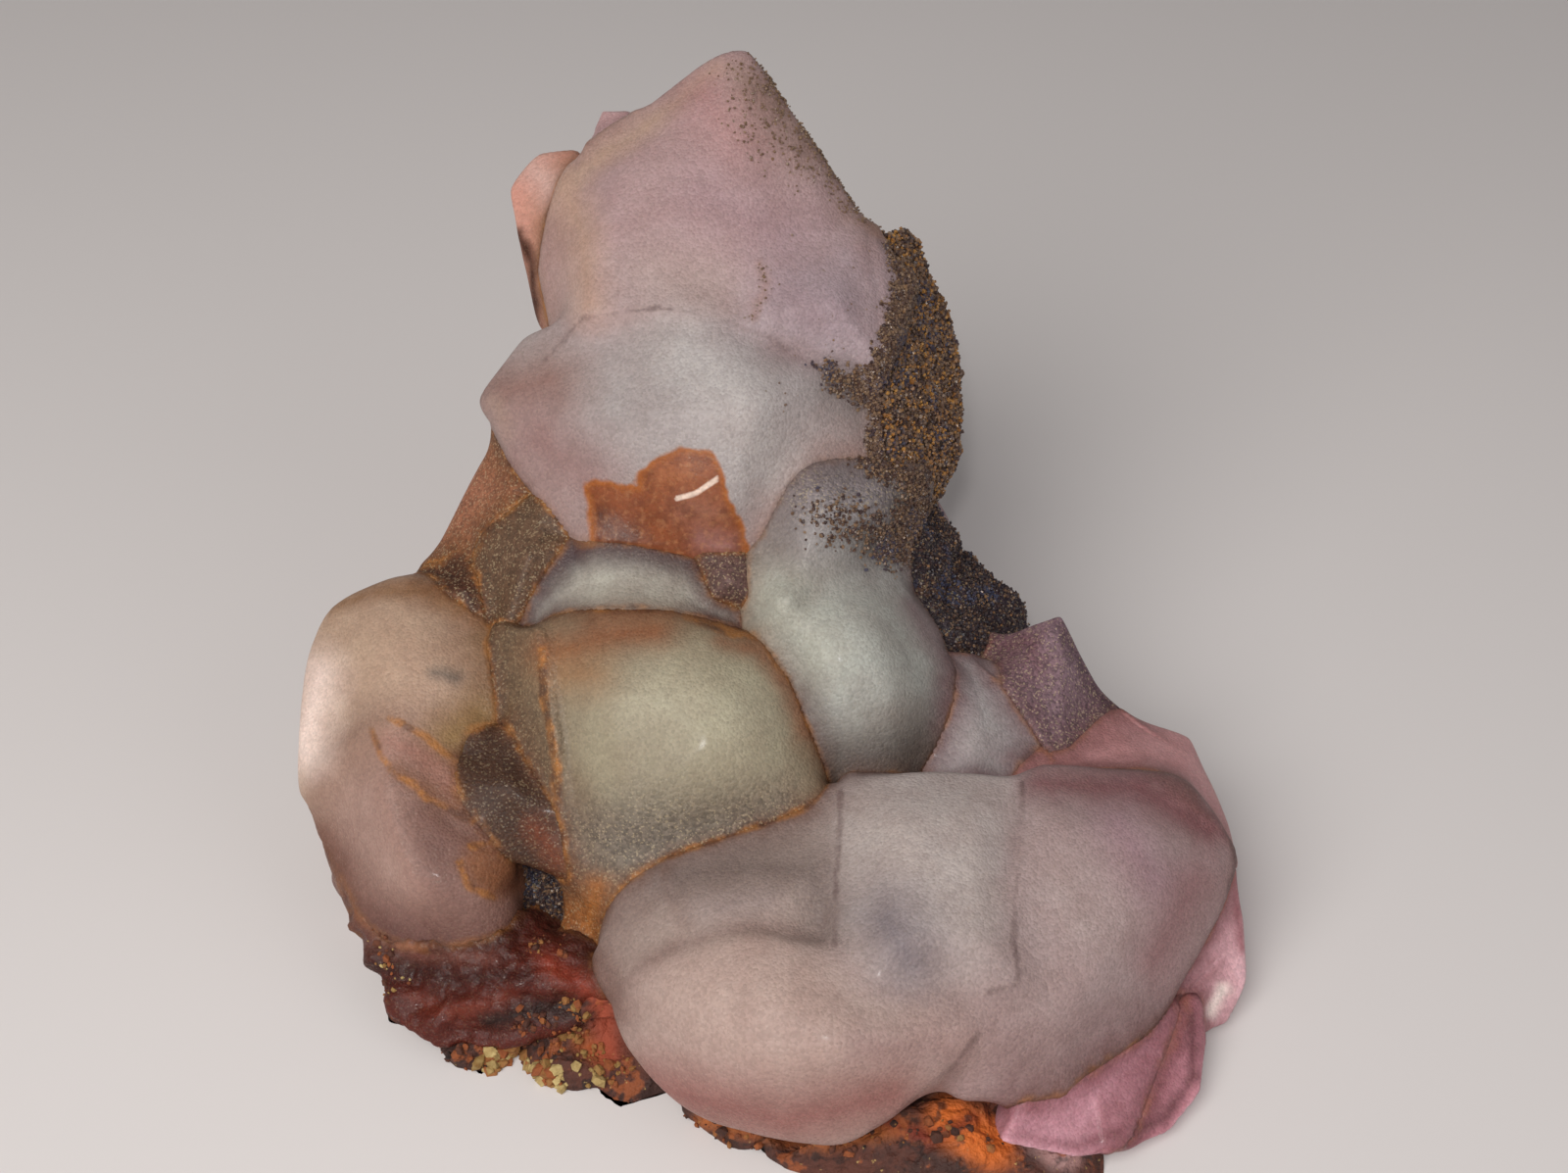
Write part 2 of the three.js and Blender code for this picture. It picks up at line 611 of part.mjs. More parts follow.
const rock = joined(LUMPS.map((each) => lump(each)))
  .subtract(joined(PITS.map((each) => lump(each))))
  .subtract(ground());
const roomForRock = joined(LUMPS.map((each) => lump(each, GAP)));
const quartz = joined([...CRYSTALS.map(crystal), ...STUBS.map(stub), ...MASSES.map(mass)])
  .subtract(ground())
  .subtract(roomForRock);

const specimen = new THREE.Group();
specimen.add(meshOf("quartz_cluster", quartz, QUARTZ));
specimen.add(meshOf("rusty_rock", rock, RUSTY_ROCK));

export default specimen;
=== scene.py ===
import math

import bmesh
import bpy
import numpy as np
from mathutils import Matrix, Vector, noise


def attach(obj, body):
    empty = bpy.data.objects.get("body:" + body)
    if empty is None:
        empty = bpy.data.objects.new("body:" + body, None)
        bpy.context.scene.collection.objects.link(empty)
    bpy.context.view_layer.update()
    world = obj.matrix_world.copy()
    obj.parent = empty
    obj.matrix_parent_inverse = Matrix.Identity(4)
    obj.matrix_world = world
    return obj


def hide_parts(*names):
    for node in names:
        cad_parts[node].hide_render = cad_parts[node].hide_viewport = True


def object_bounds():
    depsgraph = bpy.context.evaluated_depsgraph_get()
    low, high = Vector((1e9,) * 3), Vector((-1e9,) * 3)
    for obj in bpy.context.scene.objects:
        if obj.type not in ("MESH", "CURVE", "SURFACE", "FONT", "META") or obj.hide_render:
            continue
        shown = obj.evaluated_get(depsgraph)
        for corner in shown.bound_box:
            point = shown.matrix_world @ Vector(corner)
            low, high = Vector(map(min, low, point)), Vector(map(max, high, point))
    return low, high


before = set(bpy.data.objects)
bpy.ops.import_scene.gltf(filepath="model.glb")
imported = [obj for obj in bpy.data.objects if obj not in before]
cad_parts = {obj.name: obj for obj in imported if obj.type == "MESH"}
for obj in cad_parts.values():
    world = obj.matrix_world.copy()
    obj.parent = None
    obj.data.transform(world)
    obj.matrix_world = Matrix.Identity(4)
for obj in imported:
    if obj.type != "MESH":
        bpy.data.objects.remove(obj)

cad_low, cad_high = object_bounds()

# The view: an eye in front of the specimen looks down on its long slope, whose points are laid out on a face
# plane square to that line of sight: in millimetres u runs right and v up it, and w is the height off it.
MM = 0.001
EYE = 220
SIGHT_DEG = 40
PLANE_HEIGHT = 28
LENS = 49.5
SENSOR = 36

sight_turn = Matrix.Translation((0, 0, PLANE_HEIGHT)) @ Matrix.Rotation(math.radians(90 - SIGHT_DEG), 4, "X")


def on_slope(place):
    u, v, w = place
    nearer = (EYE - w) / EYE
    return np.array(sight_turn @ Vector((u * nearer, v * nearer, w)))


camera = bpy.data.objects.new("camera", bpy.data.cameras.new("camera"))
camera.data.lens = LENS
camera.data.sensor_width = SENSOR
camera.location = Vector(on_slope((0, 0, EYE))) * MM
camera.rotation_euler = (math.radians(90 - SIGHT_DEG), 0, 0)
bpy.context.scene.collection.objects.link(camera)
bpy.context.scene.camera = camera

# The tower: the tall crown with a darker facet at its right foot and the broad collar below, grown into one.
# It is lavender-grey quartz under a frosted skin, which rounds its edges. The knob is a point behind it.
SOFT = 4
CRISP = 5
KEEN = 6
SKIN = 0.5
TAPER = 0.62
DEPTH_OF_CENTRE = 0.3
SAME_FACE = 0.9995
SAME_DISTANCE = 0.05
TINY = 1e-6

stones = []


def rounded_stone(points, centre, soft, skin, **looks):
    """A convex stone with rounded edges: the flat faces round its points, and how softly they are joined."""
    hull = bmesh.new()
    for point in points:
        hull.verts.new(point)
    bmesh.ops.convex_hull(hull, input=hull.verts)
    faces = []
    for face in hull.faces:
        face.normal_update()
        normal = np.array(face.normal)
        distance = float(normal @ (np.array(face.verts[0].co) - centre))
        if distance < 0:
            normal, distance = -normal, -distance
        known = any(n @ normal > SAME_FACE and abs(d - distance) < SAME_DISTANCE for n, d in faces)
        if distance > 0 and not known:
            faces.append((normal, distance))
    hull.free()
    normals = np.array([normal for normal, _ in faces])
    distances = np.array([distance for _, distance in faces]) + skin
    reach = max(float(np.linalg.norm(np.array(point) - centre)) for point in points) + 2 * skin
    return dict(centre=centre, leans=normals / distances[:, None], soft=soft, reach=reach, **looks)


def crystal(corners, root, soft, **looks):
    """A crystal of the slope: its shoulder's corners on the face plane, narrowing to its root inside."""
    shoulder = [on_slope(corner) for corner in corners]
    middle = sum(shoulder) / len(shoulder)
    foot = on_slope(root)
    inner = [(corner - middle) * TAPER + foot for corner in shoulder]
    centre = middle + (foot - middle) * DEPTH_OF_CENTRE
    return rounded_stone(shoulder + inner, centre, soft, SKIN, **looks)


def surface_along(stone, rays):
    """How far the stone's surface is from its centre along each ray, and how squarely the ray meets it."""
    leans = np.maximum(rays @ stone["leans"].T, TINY)
    pulls = leans.copy()
    for _ in range(stone["soft"]):
        pulls *= pulls
    out = (2 / pulls.sum(1)) ** (0.5 ** stone["soft"])
    across = (pulls / leans) @ stone["leans"]
    across /= np.linalg.norm(across, axis=1)[:, None]
    return out, (across * rays).sum(1)


FAR = 12
LEAST_SQUARENESS = 0.15


def height_over(stone, places):
    """How far each place is above the stone's surface: below zero inside it, FAR where it is well away."""
    away = places - stone["centre"]
    length = np.linalg.norm(away, axis=1)
    near = length < stone["reach"] + FAR / 2
    height = np.full(len(places), float(FAR))
    rays = away[near] / np.maximum(length[near], TINY)[:, None]
    out, squareness = surface_along(stone, rays)
    height[near] = np.minimum((length[near] - out) * np.maximum(squareness, LEAST_SQUARENESS), FAR)
    return height


def smooth_lowest(heights, blend):
    lowest = heights[0]
    for height in heights[1:]:
        overlap = np.maximum(blend - abs(lowest - height), 0) / blend
        lowest = np.minimum(lowest, height) - overlap**2 * blend / 4
    return lowest


def places_of(mesh, kind="co"):
    table = np.empty(len(mesh.vertices) * 3)
    source = mesh.vertices if kind == "co" else mesh.vertex_normals
    source.foreach_get("co" if kind == "co" else "vector", table)
    return table.reshape(-1, 3)


def put_places(mesh, places):
    mesh.vertices.foreach_set("co", places.ravel())
    mesh.update()


SEED_STEP = 17.3


def noise_at(places, size, seed=0):
    """Smooth noise from about -1 to 1 whose lumps are size millimetres across."""
    shifted = places / size + seed * SEED_STEP
    return np.array([noise.noise(place) for place in shifted])


PRESSED = 0.6
HAIR = 0.02
OFF_FLOOR = 0.05


def inside_frame(places):
    """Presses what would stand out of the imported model's box back into it, in a smooth curve."""
    low = np.array(cad_low) / MM + HAIR
    high = np.array(cad_high) / MM - HAIR
    over = places - (high - PRESSED)
    places = np.where(over > 0, high - PRESSED + PRESSED * np.tanh(over / PRESSED), places)
    under = (low + PRESSED) - places
    sideways = under > 0
    sideways[:, 2] = False
    places = np.where(sideways, low + PRESSED - PRESSED * np.tanh(under / PRESSED), places)
    places[:, 2] = np.maximum(places[:, 2], OFF_FLOOR)
    return places


def new_object(name, mesh):
    made = bpy.data.objects.new(name, mesh)
    bpy.context.scene.collection.objects.link(made)
    return made


def remeshed(bm, voxel):
    """One closed skin round the shapes in bm, as a new mesh."""
    mesh = bpy.data.meshes.new("rough")
    bm.to_mesh(mesh)
    rough = new_object("rough", mesh)
    skin = rough.modifiers.new("skin", "REMESH")
    skin.mode = "VOXEL"
    skin.voxel_size = voxel
    whole = bpy.data.meshes.new_from_object(rough.evaluated_get(bpy.context.evaluated_depsgraph_get()))
    bpy.data.objects.remove(rough)
    return whole


def linear(colour):
    """A colour as seen on a screen, 0 to 255, as the light that a shader works in."""
    share = np.array(colour) / 255
    return np.where(share < 0.04045, share / 12.92, ((share + 0.055) / 1.055) ** 2.4)


def seen(colour):
    """A screen colour as the value of a colour socket."""
    return (*linear(colour), 1)


def set_attribute(mesh, name, values, kind="FLOAT"):
    layer = mesh.attributes.get(name) or mesh.attributes.new(name, kind, "POINT")
    stored = "color" if kind == "FLOAT_COLOR" else "value"
    layer.data.foreach_set(stored, np.ascontiguousarray(values).ravel())


def get_attribute(mesh, name):
    layer = mesh.attributes[name]
    width = 4 if layer.data_type == "FLOAT_COLOR" else 1
    values = np.empty(len(mesh.vertices) * width)
    layer.data.foreach_get("color" if width == 4 else "value", values)
    return values.reshape(-1, 4) if width == 4 else values


VOXEL = 0.45
BIG_STONE = 17
BALL = 6
FINE_BALL = 7
SETTLINGS = 3
LONGEST_STEP = 0.6
grown = {}


def grow(name, *members, blend=2.0, voxel=VOXEL, fade=0.8, fill=3.6, relief=(7, 0.18), rounds=2):
    """One piece of quartz: a single rounded stone, or several grown together with soft creases between."""
    bm = bmesh.new()
    for stone in members:
        fineness = FINE_BALL if stone["reach"] > BIG_STONE and len(members) == 1 else BALL
        ball = bmesh.ops.create_icosphere(bm, subdivisions=fineness, radius=1)["verts"]
        rays = np.array([vert.co for vert in ball])
        rays /= np.linalg.norm(rays, axis=1)[:, None]
        out, _ = surface_along(stone, rays)
        for vert, place in zip(ball, stone["centre"] + rays * out[:, None]):
            vert.co = place
    if len(members) > 1:
        for _ in range(rounds):
            mesh = remeshed(bm, voxel)
            for _ in range(SETTLINGS):
                places = places_of(mesh)
                height = smooth_lowest([height_over(stone, places) for stone in members], blend)
                step = np.clip(height, -LONGEST_STEP, LONGEST_STEP)
                put_places(mesh, places - places_of(mesh, "normal") * step[:, None])
            bm.clear()
            bm.from_mesh(mesh)
    else:
        mesh = bpy.data.meshes.new(name)
        bm.to_mesh(mesh)
    bm.free()
    mesh.name = name
    mesh.shade_smooth()
    heights = np.array([height_over(stone, places_of(mesh)) for stone in members])
    shares = np.exp(-(heights - heights.min(0)) / fade)
    shares /= shares.sum(0)
    opaque = np.ones(len(mesh.vertices))
    for layer in ("core", "rim"):
        colours = shares.T @ np.array([linear(stone[layer]) for stone in members])
        set_attribute(mesh, layer, np.column_stack([colours, opaque]), "FLOAT_COLOR")
    for layer in ("rust", "sparkle"):
        set_attribute(mesh, layer, shares.T @ np.array([float(stone.get(layer, 0)) for stone in members]))
    crease = np.full(len(mesh.vertices), FAR)
    if len(members) > 1:
        crease = np.sort(heights, axis=0)[1] - heights.min(0)
    set_attribute(mesh, "crease", crease)
    piece = new_object(name, mesh)
    stones.extend(members)
    grown[name] = (piece, members, blend, fill, relief)
    return piece


def spread_from(spots, path, closed):
    """How far each spot on the face plane is from a path, below zero inside it where it is closed."""
    ends = path[1:] + path[:1] if closed else path[1:]
    nearest = np.full(len(spots), np.inf)
    inside = np.zeros(len(spots), bool)
    for start, end in zip(path, ends or path):
        start, end = np.array(start, float), np.array(end, float)
        along = end - start
        share = np.clip((spots - start) @ along / max(along @ along, TINY), 0, 1)
        nearest = np.minimum(nearest, np.linalg.norm(spots - start - share[:, None] * along, axis=1))
        if closed and along[1] != 0:
            crossing = (spots[:, 1] > start[1]) != (spots[:, 1] > end[1])
            inside ^= crossing & (spots[:, 0] < start[0] + (spots[:, 1] - start[1]) * along[0] / along[1])
    return np.where(inside, -nearest, nearest) if closed else nearest


def slope_spots(places):
    """Where each place is on the face plane, seen square to it."""
    flat = (places - np.array(sight_turn.translation)) @ np.array(sight_turn.to_3x3())
    return flat[:, :2] * (EYE / (EYE - flat[:, 2]))[:, None]


def facing_up(piece):
    """How squarely each vertex of a piece faces up off the slope."""
    return places_of(piece.data, "normal") @ np.array(sight_turn.to_3x3() @ Vector((0, 0, 1)))


FRAYED = 1.3
TURNED_AWAY = -0.2


def mask_on(piece, path, width=0.0, closed=False, soft=1.0, ragged=0.3):
    """How strongly a stain covers each vertex of a piece, from 0 to 1, on the side that faces up."""
    places = places_of(piece.data)
    spread = spread_from(slope_spots(places), path, closed) - width
    spread += noise_at(places, FRAYED, 3) * ragged
    cover = np.clip(0.5 - spread / (2 * soft), 0, 1)
    return cover * cover * (3 - 2 * cover) * np.clip(1 - facing_up(piece) / TURNED_AWAY, 0, 1)


def stain(piece, colour, path, strength=1.0, layers=("core", "rim"), **shape):
    """Colours a patch or a line of a piece."""
    cover = (mask_on(piece, path, **shape) * strength)[:, None]
    for layer in layers:
        colours = get_attribute(piece.data, layer)
        colours[:, :3] += (linear(colour) - colours[:, :3]) * cover
        set_attribute(piece.data, layer, colours, "FLOAT_COLOR")


def stains(piece, rows, **more):
    """Colours parts of a piece, by rows of a colour, a path, its width, softness and strength."""
    for colour, path, width, soft, *strength in rows:
        stain(piece, colour, path, *strength, width=width, soft=soft, **more)


def strengthen(piece, layer, path, amount=1.0, **shape):
    """Raises a layer such as the sparkle along a path."""
    values = np.maximum(get_attribute(piece.data, layer), mask_on(piece, path, **shape) * amount)
    set_attribute(piece.data, layer, values)


VEIN_REACH = 3


def vein(piece, *paths, layer="vein", closed=False, thin=0.0):
    """Stores how near each vertex is to the paths, for lines that the finish draws sharply."""
    spots = slope_spots(places_of(piece.data))
    nearest = np.min([spread_from(spots, path, closed) for path in paths], axis=0)
    values = np.maximum(VEIN_REACH - thin - nearest, 0) * (facing_up(piece) > TURNED_AWAY)
    set_attribute(piece.data, layer, values)


tower = grow(
    "tower",
    crystal(
        core=(164, 137, 136), rim=(160, 128, 118), rust=0.1, soft=KEEN, root=(-6, 14, -18),
        corners=[
            (-4.2, 54.7, 0.5), (-7.4, 53.4, -1), (-22, 42.3, -5), (-24, 33, -5), (-22.6, 26, -4),
            (-17.4, 40.4, 1), (-19.7, 28, 4), (-3.8, 43.6, 2.6), (-2.8, 28, 5), (6.6, 38.4, -2),
            (9.4, 34.8, -3), (9.6, 25.8, 1), (2.5, 40, -20), (-14, 40, -22), (-18, 26, -24),
            (10, 26, -24),
        ],
    ),
    crystal(
        core=(164, 148, 154), rim=(146, 126, 130), rust=0.1, soft=CRISP, root=(4, 20, -14),
        corners=[
            (-0.8, 31.9, 4), (-2.8, 26.8, 6), (9.1, 22.7, 4), (12.6, 31, -2), (7, 35, 0), (5, 29, 6),
        ],
    ),
    crystal(
        core=(160, 151, 149), rim=(150, 124, 118), rust=0.15, soft=CRISP, root=(-8, 10, -20),
        corners=[
            (-30.8, 19, -1), (-26, 25.2, -2), (-16.4, 28.5, 3), (-8.8, 28.7, 5), (-3.8, 26.8, 5),
            (9.1, 22.9, 1), (13.5, 15.8, -4), (10, 13.5, 1), (-1, 10.8, 5), (-3.5, 2.2, 4),
            (-19.4, 4, 4), (-26.3, 12.3, 1), (-14, 16, 9), (-3, 18.8, 10.5), (-6, 9, 9),
        ],
    ),
    blend=2.2,
    fade=1.6,
)
stains(tower, [
    ((180, 148, 126), [(-22.5, 41), (-20.6, 36), (-20, 29)], 0.8, 3.5),
    ((176, 148, 124), [(-7, 53), (-14, 47), (-21, 42)], 0.4, 1.8, 0.8),
    ((170, 150, 144), [(-14, 32), (-8, 31)], 2, 4, 0.7),
    ((162, 118, 116), [(-8, 50), (-5, 46)], 2, 5, 0.8),
    ((158, 130, 136), [(-8, 40), (0, 36)], 2, 5, 0.6),
    ((140, 116, 122), [(0, 30), (4, 27)], 1.5, 4, 0.6),
    ((146, 118, 108), [(-3.6, 50.5), (-1.6, 46.5), (2, 44)], 1.6, 3.4, 0.6),
    ((122, 98, 84), [(-4.6, 52.5), (0, 48.5), (5.4, 42), (9, 36.6)], 0.6, 2.6, 0.8),
    ((146, 108, 92), [(-2.6, 33), (-1.8, 31), (-3, 27.5)], 0.2, 0.8, 0.6),
])

grow("knob", crystal(
    core=(185, 150, 150), rim=(170, 135, 135), rust=0.0, soft=SOFT, root=(-13, 42, -14),
    corners=[
        (-18.6, 46.6, -7), (-18.2, 47.9, -7), (-16.4, 47.6, -6), (-15.6, 45.6, -5), (-18, 45, -5),
    ],
))

# The spur: a small pinkish point that leans on the left of the crown, with a rusty rim where it has broken
# away from the rock behind it.
spur = grow("spur", crystal(
    core=(202, 148, 132), rim=(140, 98, 72), rust=0.6, soft=SOFT, root=(-18, 28, -20),
    corners=[
        (-21.4, 43.8, -10), (-24.8, 43.6, -11), (-27.6, 40.2, -10), (-26.9, 36.6, -9), (-25.2, 34, -8),
        (-24.6, 27, -8), (-21.6, 27, -5), (-21.4, 39.4, -6),
    ],
))
stains(spur, [
    ((70, 34, 20), [(-27.2, 36), (-25.6, 33), (-25.2, 27)], 0.6, 0.7),
    ((204, 168, 158), [(-25.6, 42.6), (-23.4, 40)], 1.2, 2.4),
    ((166, 128, 92), [(-23, 37), (-22.4, 32), (-22.8, 28)], 0.6, 1.6, 0.8),
])

# The collar: a broad frosted point below the crown. A window in its front has lost the skin, and shows
# rust-orange quartz with one white scratch.
stains(tower, [
    ((134, 98, 88), [(-28.5, 20), (-24, 21)], 2.5, 5),
    ((160, 138, 124), [(-29.4, 18.8), (-28, 15.4)], 0.3, 1.4),
    ((142, 104, 100), [(-25, 15), (-20, 11)], 3, 5, 0.8),
    ((88, 64, 48), [(13.4, 35), (13.6, 31), (12.8, 26.4)], 1.5, 0.8),
    ((88, 70, 56), [(10.4, 22), (10.8, 18), (10.6, 13)], 0.8, 1.4),
    ((176, 170, 167), [(-11, 24), (-5, 19), (-2, 13)], 2.5, 5, 0.85),
    ((134, 108, 108), [(-1, 24.6), (5, 22), (8, 20)], 0.6, 2, 0.7),
    ((86, 74, 67), [(5.4, 20.8), (10, 17.4), (12, 13)], 1.2, 3.6, 0.9),
])
WINDOW = [
    (-20.5, 10.3), (-19.3, 10.9), (-17.5, 10.7), (-15, 10.2), (-14.8, 11.7), (-13.5, 12.9),
    (-10.8, 14.2), (-7.5, 13.9), (-6.8, 13.2), (-6, 10.9), (-5.5, 8.9), (-4.5, 6.9), (-3.9, 4.7),
    (-4, 2.4), (-10, 2.6), (-14.7, 4), (-19.4, 4), (-19.8, 7.4),
]
rust_glass = np.tile(seen((128, 68, 36)), (len(tower.data.vertices), 1))
set_attribute(tower.data, "glass", rust_glass, "FLOAT_COLOR")
stains(tower, [
    ((72, 30, 12), [(-18.8, 7.4), (-17.4, 5.6), (-15.4, 5)], 0.8, 1.6),
    ((152, 92, 58), [(-12.6, 11.4), (-9, 12)], 1, 1.6),
    ((140, 90, 70), [(-10, 8), (-7.4, 7.6)], 1.4, 2),
    ((140, 94, 86), [(-8.4, 5), (-5.4, 4.4)], 1, 1.4),
], layers=["glass"])
vein(tower, WINDOW, layer="window", closed=True)
COLLAR_TOP = [(-24.6, 23), (-20.4, 27.4), (-12.9, 28.5), (-7.1, 27.4), (-1.9, 25.6), (3.8, 22.1)]
vein(tower, COLLAR_TOP, [(-2.4, 33), (-2.8, 27)], layer="crack", thin=0.1)
vein(tower, [(-10.9, 9), (-9, 9.5), (-6.8, 11)], layer="scratch")

# The dark flank and steps: the right side of the tower, all covered in dark, golden-brown iron druse down
# to the right shoulder, with blue-black faces on the steps.
flank = grow(
    "flank",
    crystal(
        core=(66, 46, 34), rim=(46, 34, 28), rust=0.2, soft=SOFT, root=(4, 18, -24),
        corners=[
            (14.8, 30.6, -12), (16.2, 28.8, -12), (17.3, 25, -12), (17.8, 21.3, -11), (17.8, 17.8, -10),
            (17.4, 12.6, -9), (14.7, 8.4, -7), (10.6, 20, 2.6), (10, 26.8, 1), (11, 12, 1),
        ],
    ),
    crystal(
        core=(70, 50, 36), rim=(48, 36, 30), rust=0.2, soft=SOFT, root=(2, 26, -20),
        corners=[
            (12.3, 35.8, -8), (13.6, 34.7, -9), (14, 31.6, -9), (13.4, 28.6, -9), (8.6, 35, -2.4),
            (10, 27, 0),
        ],
    ),
    blend=3,
    fill=1.5,
    relief=(1.2, 0.3),
)
step_upper = grow("step_upper", crystal(
    core=(50, 36, 44), rim=(34, 24, 30), rust=0.2, sparkle=1, soft=CRISP, root=(6, 2, -26),
    corners=[
        (13, 9.4, -7), (17, 5.2, -9), (17.4, 3.2, -9), (15.6, -1, -3), (11, 0, -1), (10.5, 4.5, -1),
        (14, 3, -0.5),
    ],
), fill=1, relief=(3.2, 0.75))
step_lower = grow("step_lower", crystal(
    core=(50, 36, 44), rim=(34, 24, 30), rust=0.2, sparkle=1, soft=CRISP, root=(10, -4, -28),
    corners=[
        (16, 3.6, -11), (18.9, 3.1, -12), (22, -1, -12), (24.3, -3, -12), (24.8, -4.6, -11),
        (19, -6.6, -7), (14, -2, -5), (18, -0.5, -5.5),
    ],
), fill=1, relief=(3.2, 0.75))
step_front = grow("step_front", crystal(
    core=(74, 66, 70), rim=(46, 34, 38), rust=0.3, sparkle=1, soft=CRISP, root=(12, -6, -20),
    corners=[
        (14, -0.5, -2), (17.5, -2.5, -5), (21, -5.6, -7), (20.8, -7.2, -6), (18.5, -7.8, -4),
        (16, -7.6, -1), (13.5, -4, 0), (17.4, -5, 0),
    ],
), fill=1, relief=(3.2, 0.75))

# The stair of domes down the middle: the arch, the yellowish heart with its side, and the pearls with the
# smoky dome above them. Each is a broad frosted crystal end, translucent, with painted shade along its rim
# and rust in the seams.
arch = grow("arch", crystal(
    core=(184, 181, 170), rim=(76, 52, 54), rust=0.5, soft=SOFT, root=(-14, -4, -14),
    corners=[
        (-27.9, -5.1, 2), (-26.9, -2, 3), (-25.1, 0.9, 3), (-23.3, 3.3, 3), (-18.7, 5.5, 3),
        (-15.7, 5.5, 4), (-10.3, 3.9, 4), (-6.5, 0.9, 5), (-3.7, -3, 5), (-2.2, -7, 5), (-10, -14, 5),
        (-24, -14, 5), (-18, -2, 9), (-11, -3, 9.5),
    ],
))
grow("arch_end", crystal(
    core=(112, 88, 84), rim=(74, 50, 46), rust=0.7, sparkle=0.8, soft=CRISP, root=(-6, -2, -12),
    corners=[
        (-9.5, 4, 3.5), (-4.3, 4.6, 3.5), (-3.2, 2.3, 4.5), (-3, -2, 5), (-8, -2, 5), (-5.5, 0.6, 8),
    ],
))
heart = grow(
    "heart",
    crystal(
        core=(148, 138, 116), rim=(112, 82, 58), rust=1, soft=SOFT, root=(-10, -14, -12),
        corners=[
            (-25.3, -4.6, 9), (-22.8, -4.6, 10), (-19.3, -2.9, 10), (-13.7, -3.2, 11), (-9.8, -3.4, 11),
            (-6.5, -4.6, 11), (-2.2, -6.1, 10), (0.9, -10.8, 10), (2.2, -15, 10), (2.1, -18, 10),
            (5, -23.5, 12), (-5.2, -26.6, 14), (-13.9, -30.2, 14), (-18, -33, 13), (-21.3, -28, 12),
            (-22.3, -24.8, 11.5), (-23.6, -15.9, 11), (-25.1, -8.5, 10), (-20, -9, 14), (-8, -9, 15.5),
            (-4, -14, 15.5), (-8, -21, 17), (-17, -21, 16.5),
        ],
    ),
    crystal(
        core=(112, 92, 72), rim=(88, 64, 44), rust=0.8, sparkle=0.5, soft=CRISP, root=(-22, -14, -10),
        corners=[
            (-28.9, -5, 5), (-29.6, -8.5, 5), (-29.9, -12, 5), (-28.9, -15, 6), (-25.6, -22, 8),
            (-22.3, -26.5, 9), (-25.2, -5, 9), (-23.4, -16, 12),
        ],
    ),
    crystal(
        core=(140, 88, 46), rim=(128, 72, 28), rust=1, sparkle=0.6, soft=CRISP, root=(-17, -28, -4),
        corners=[
            (-22, -26, 10), (-21.8, -31, 9.5), (-21.2, -35.6, 9), (-19.4, -37.6, 9), (-17, -36.4, 11),
            (-15.4, -33, 13), (-14.5, -29.5, 14), (-18.5, -30, 13.5),
        ],
    ),
    blend=1.6,
)
ARCH_TOP = [(-27.6, -4), (-26, -1), (-23.4, 2), (-19.4, 4.2), (-15, 4), (-10, 3), (-6.4, 0)]
stains(arch, [
    # Painted shade along the arch's top rim, where it meets the crystals above.
    ((60, 40, 46), ARCH_TOP, 1.3, 2),
    ((168, 162, 148), [(-19, -1), (-12, -2)], 1.5, 3.5, 0.8),
])
HEART_FOOT = [(-22, -23), (-16, -21.5), (-8, -22), (0, -20.5), (4, -24), (-6, -28), (-16, -32), (-21, -29)]
# Painted shade: the heart's lower part, which faces down, is painted a darker grey.
stain(heart, (108, 98, 88), HEART_FOOT, closed=True, soft=4.5, strength=0.95)
stains(heart, [
    ((126, 70, 34), [(-24.4, -6.8), (-21, -6.2), (-18, -5), (-13, -4.8)], 1.2, 2.8),
    ((142, 100, 62), [(-22.6, -9), (-19, -9)], 1.4, 3.5, 0.85),
    ((172, 166, 144), [(-13, -12), (-4, -12.5)], 3, 5, 0.8),
    ((150, 140, 118), [(-20, -15), (-18, -18)], 1.5, 3, 0.6),
    ((128, 84, 58), [(-6.5, -5.4), (-2.4, -6.8), (0.6, -11), (1.8, -15)], 0.4, 1.4),
    ((96, 66, 48), [(-23.4, -24), (-21.6, -29), (-19.6, -33)], 0.8, 2),
    ((150, 92, 40), [(-19, -31), (-20.4, -35)], 1, 2),
])
strengthen(heart, "sparkle", HEART_FOOT, amount=0.8, closed=True, soft=3)
HEART_SEAM = [(-24.6, -6.6), (-24.4, -12), (-23.2, -18), (-22.6, -24), (-21.6, -29.6)]
vein(heart, HEART_SEAM, [(-10, -3.2), (-2.4, -5.6), (2, -12)])

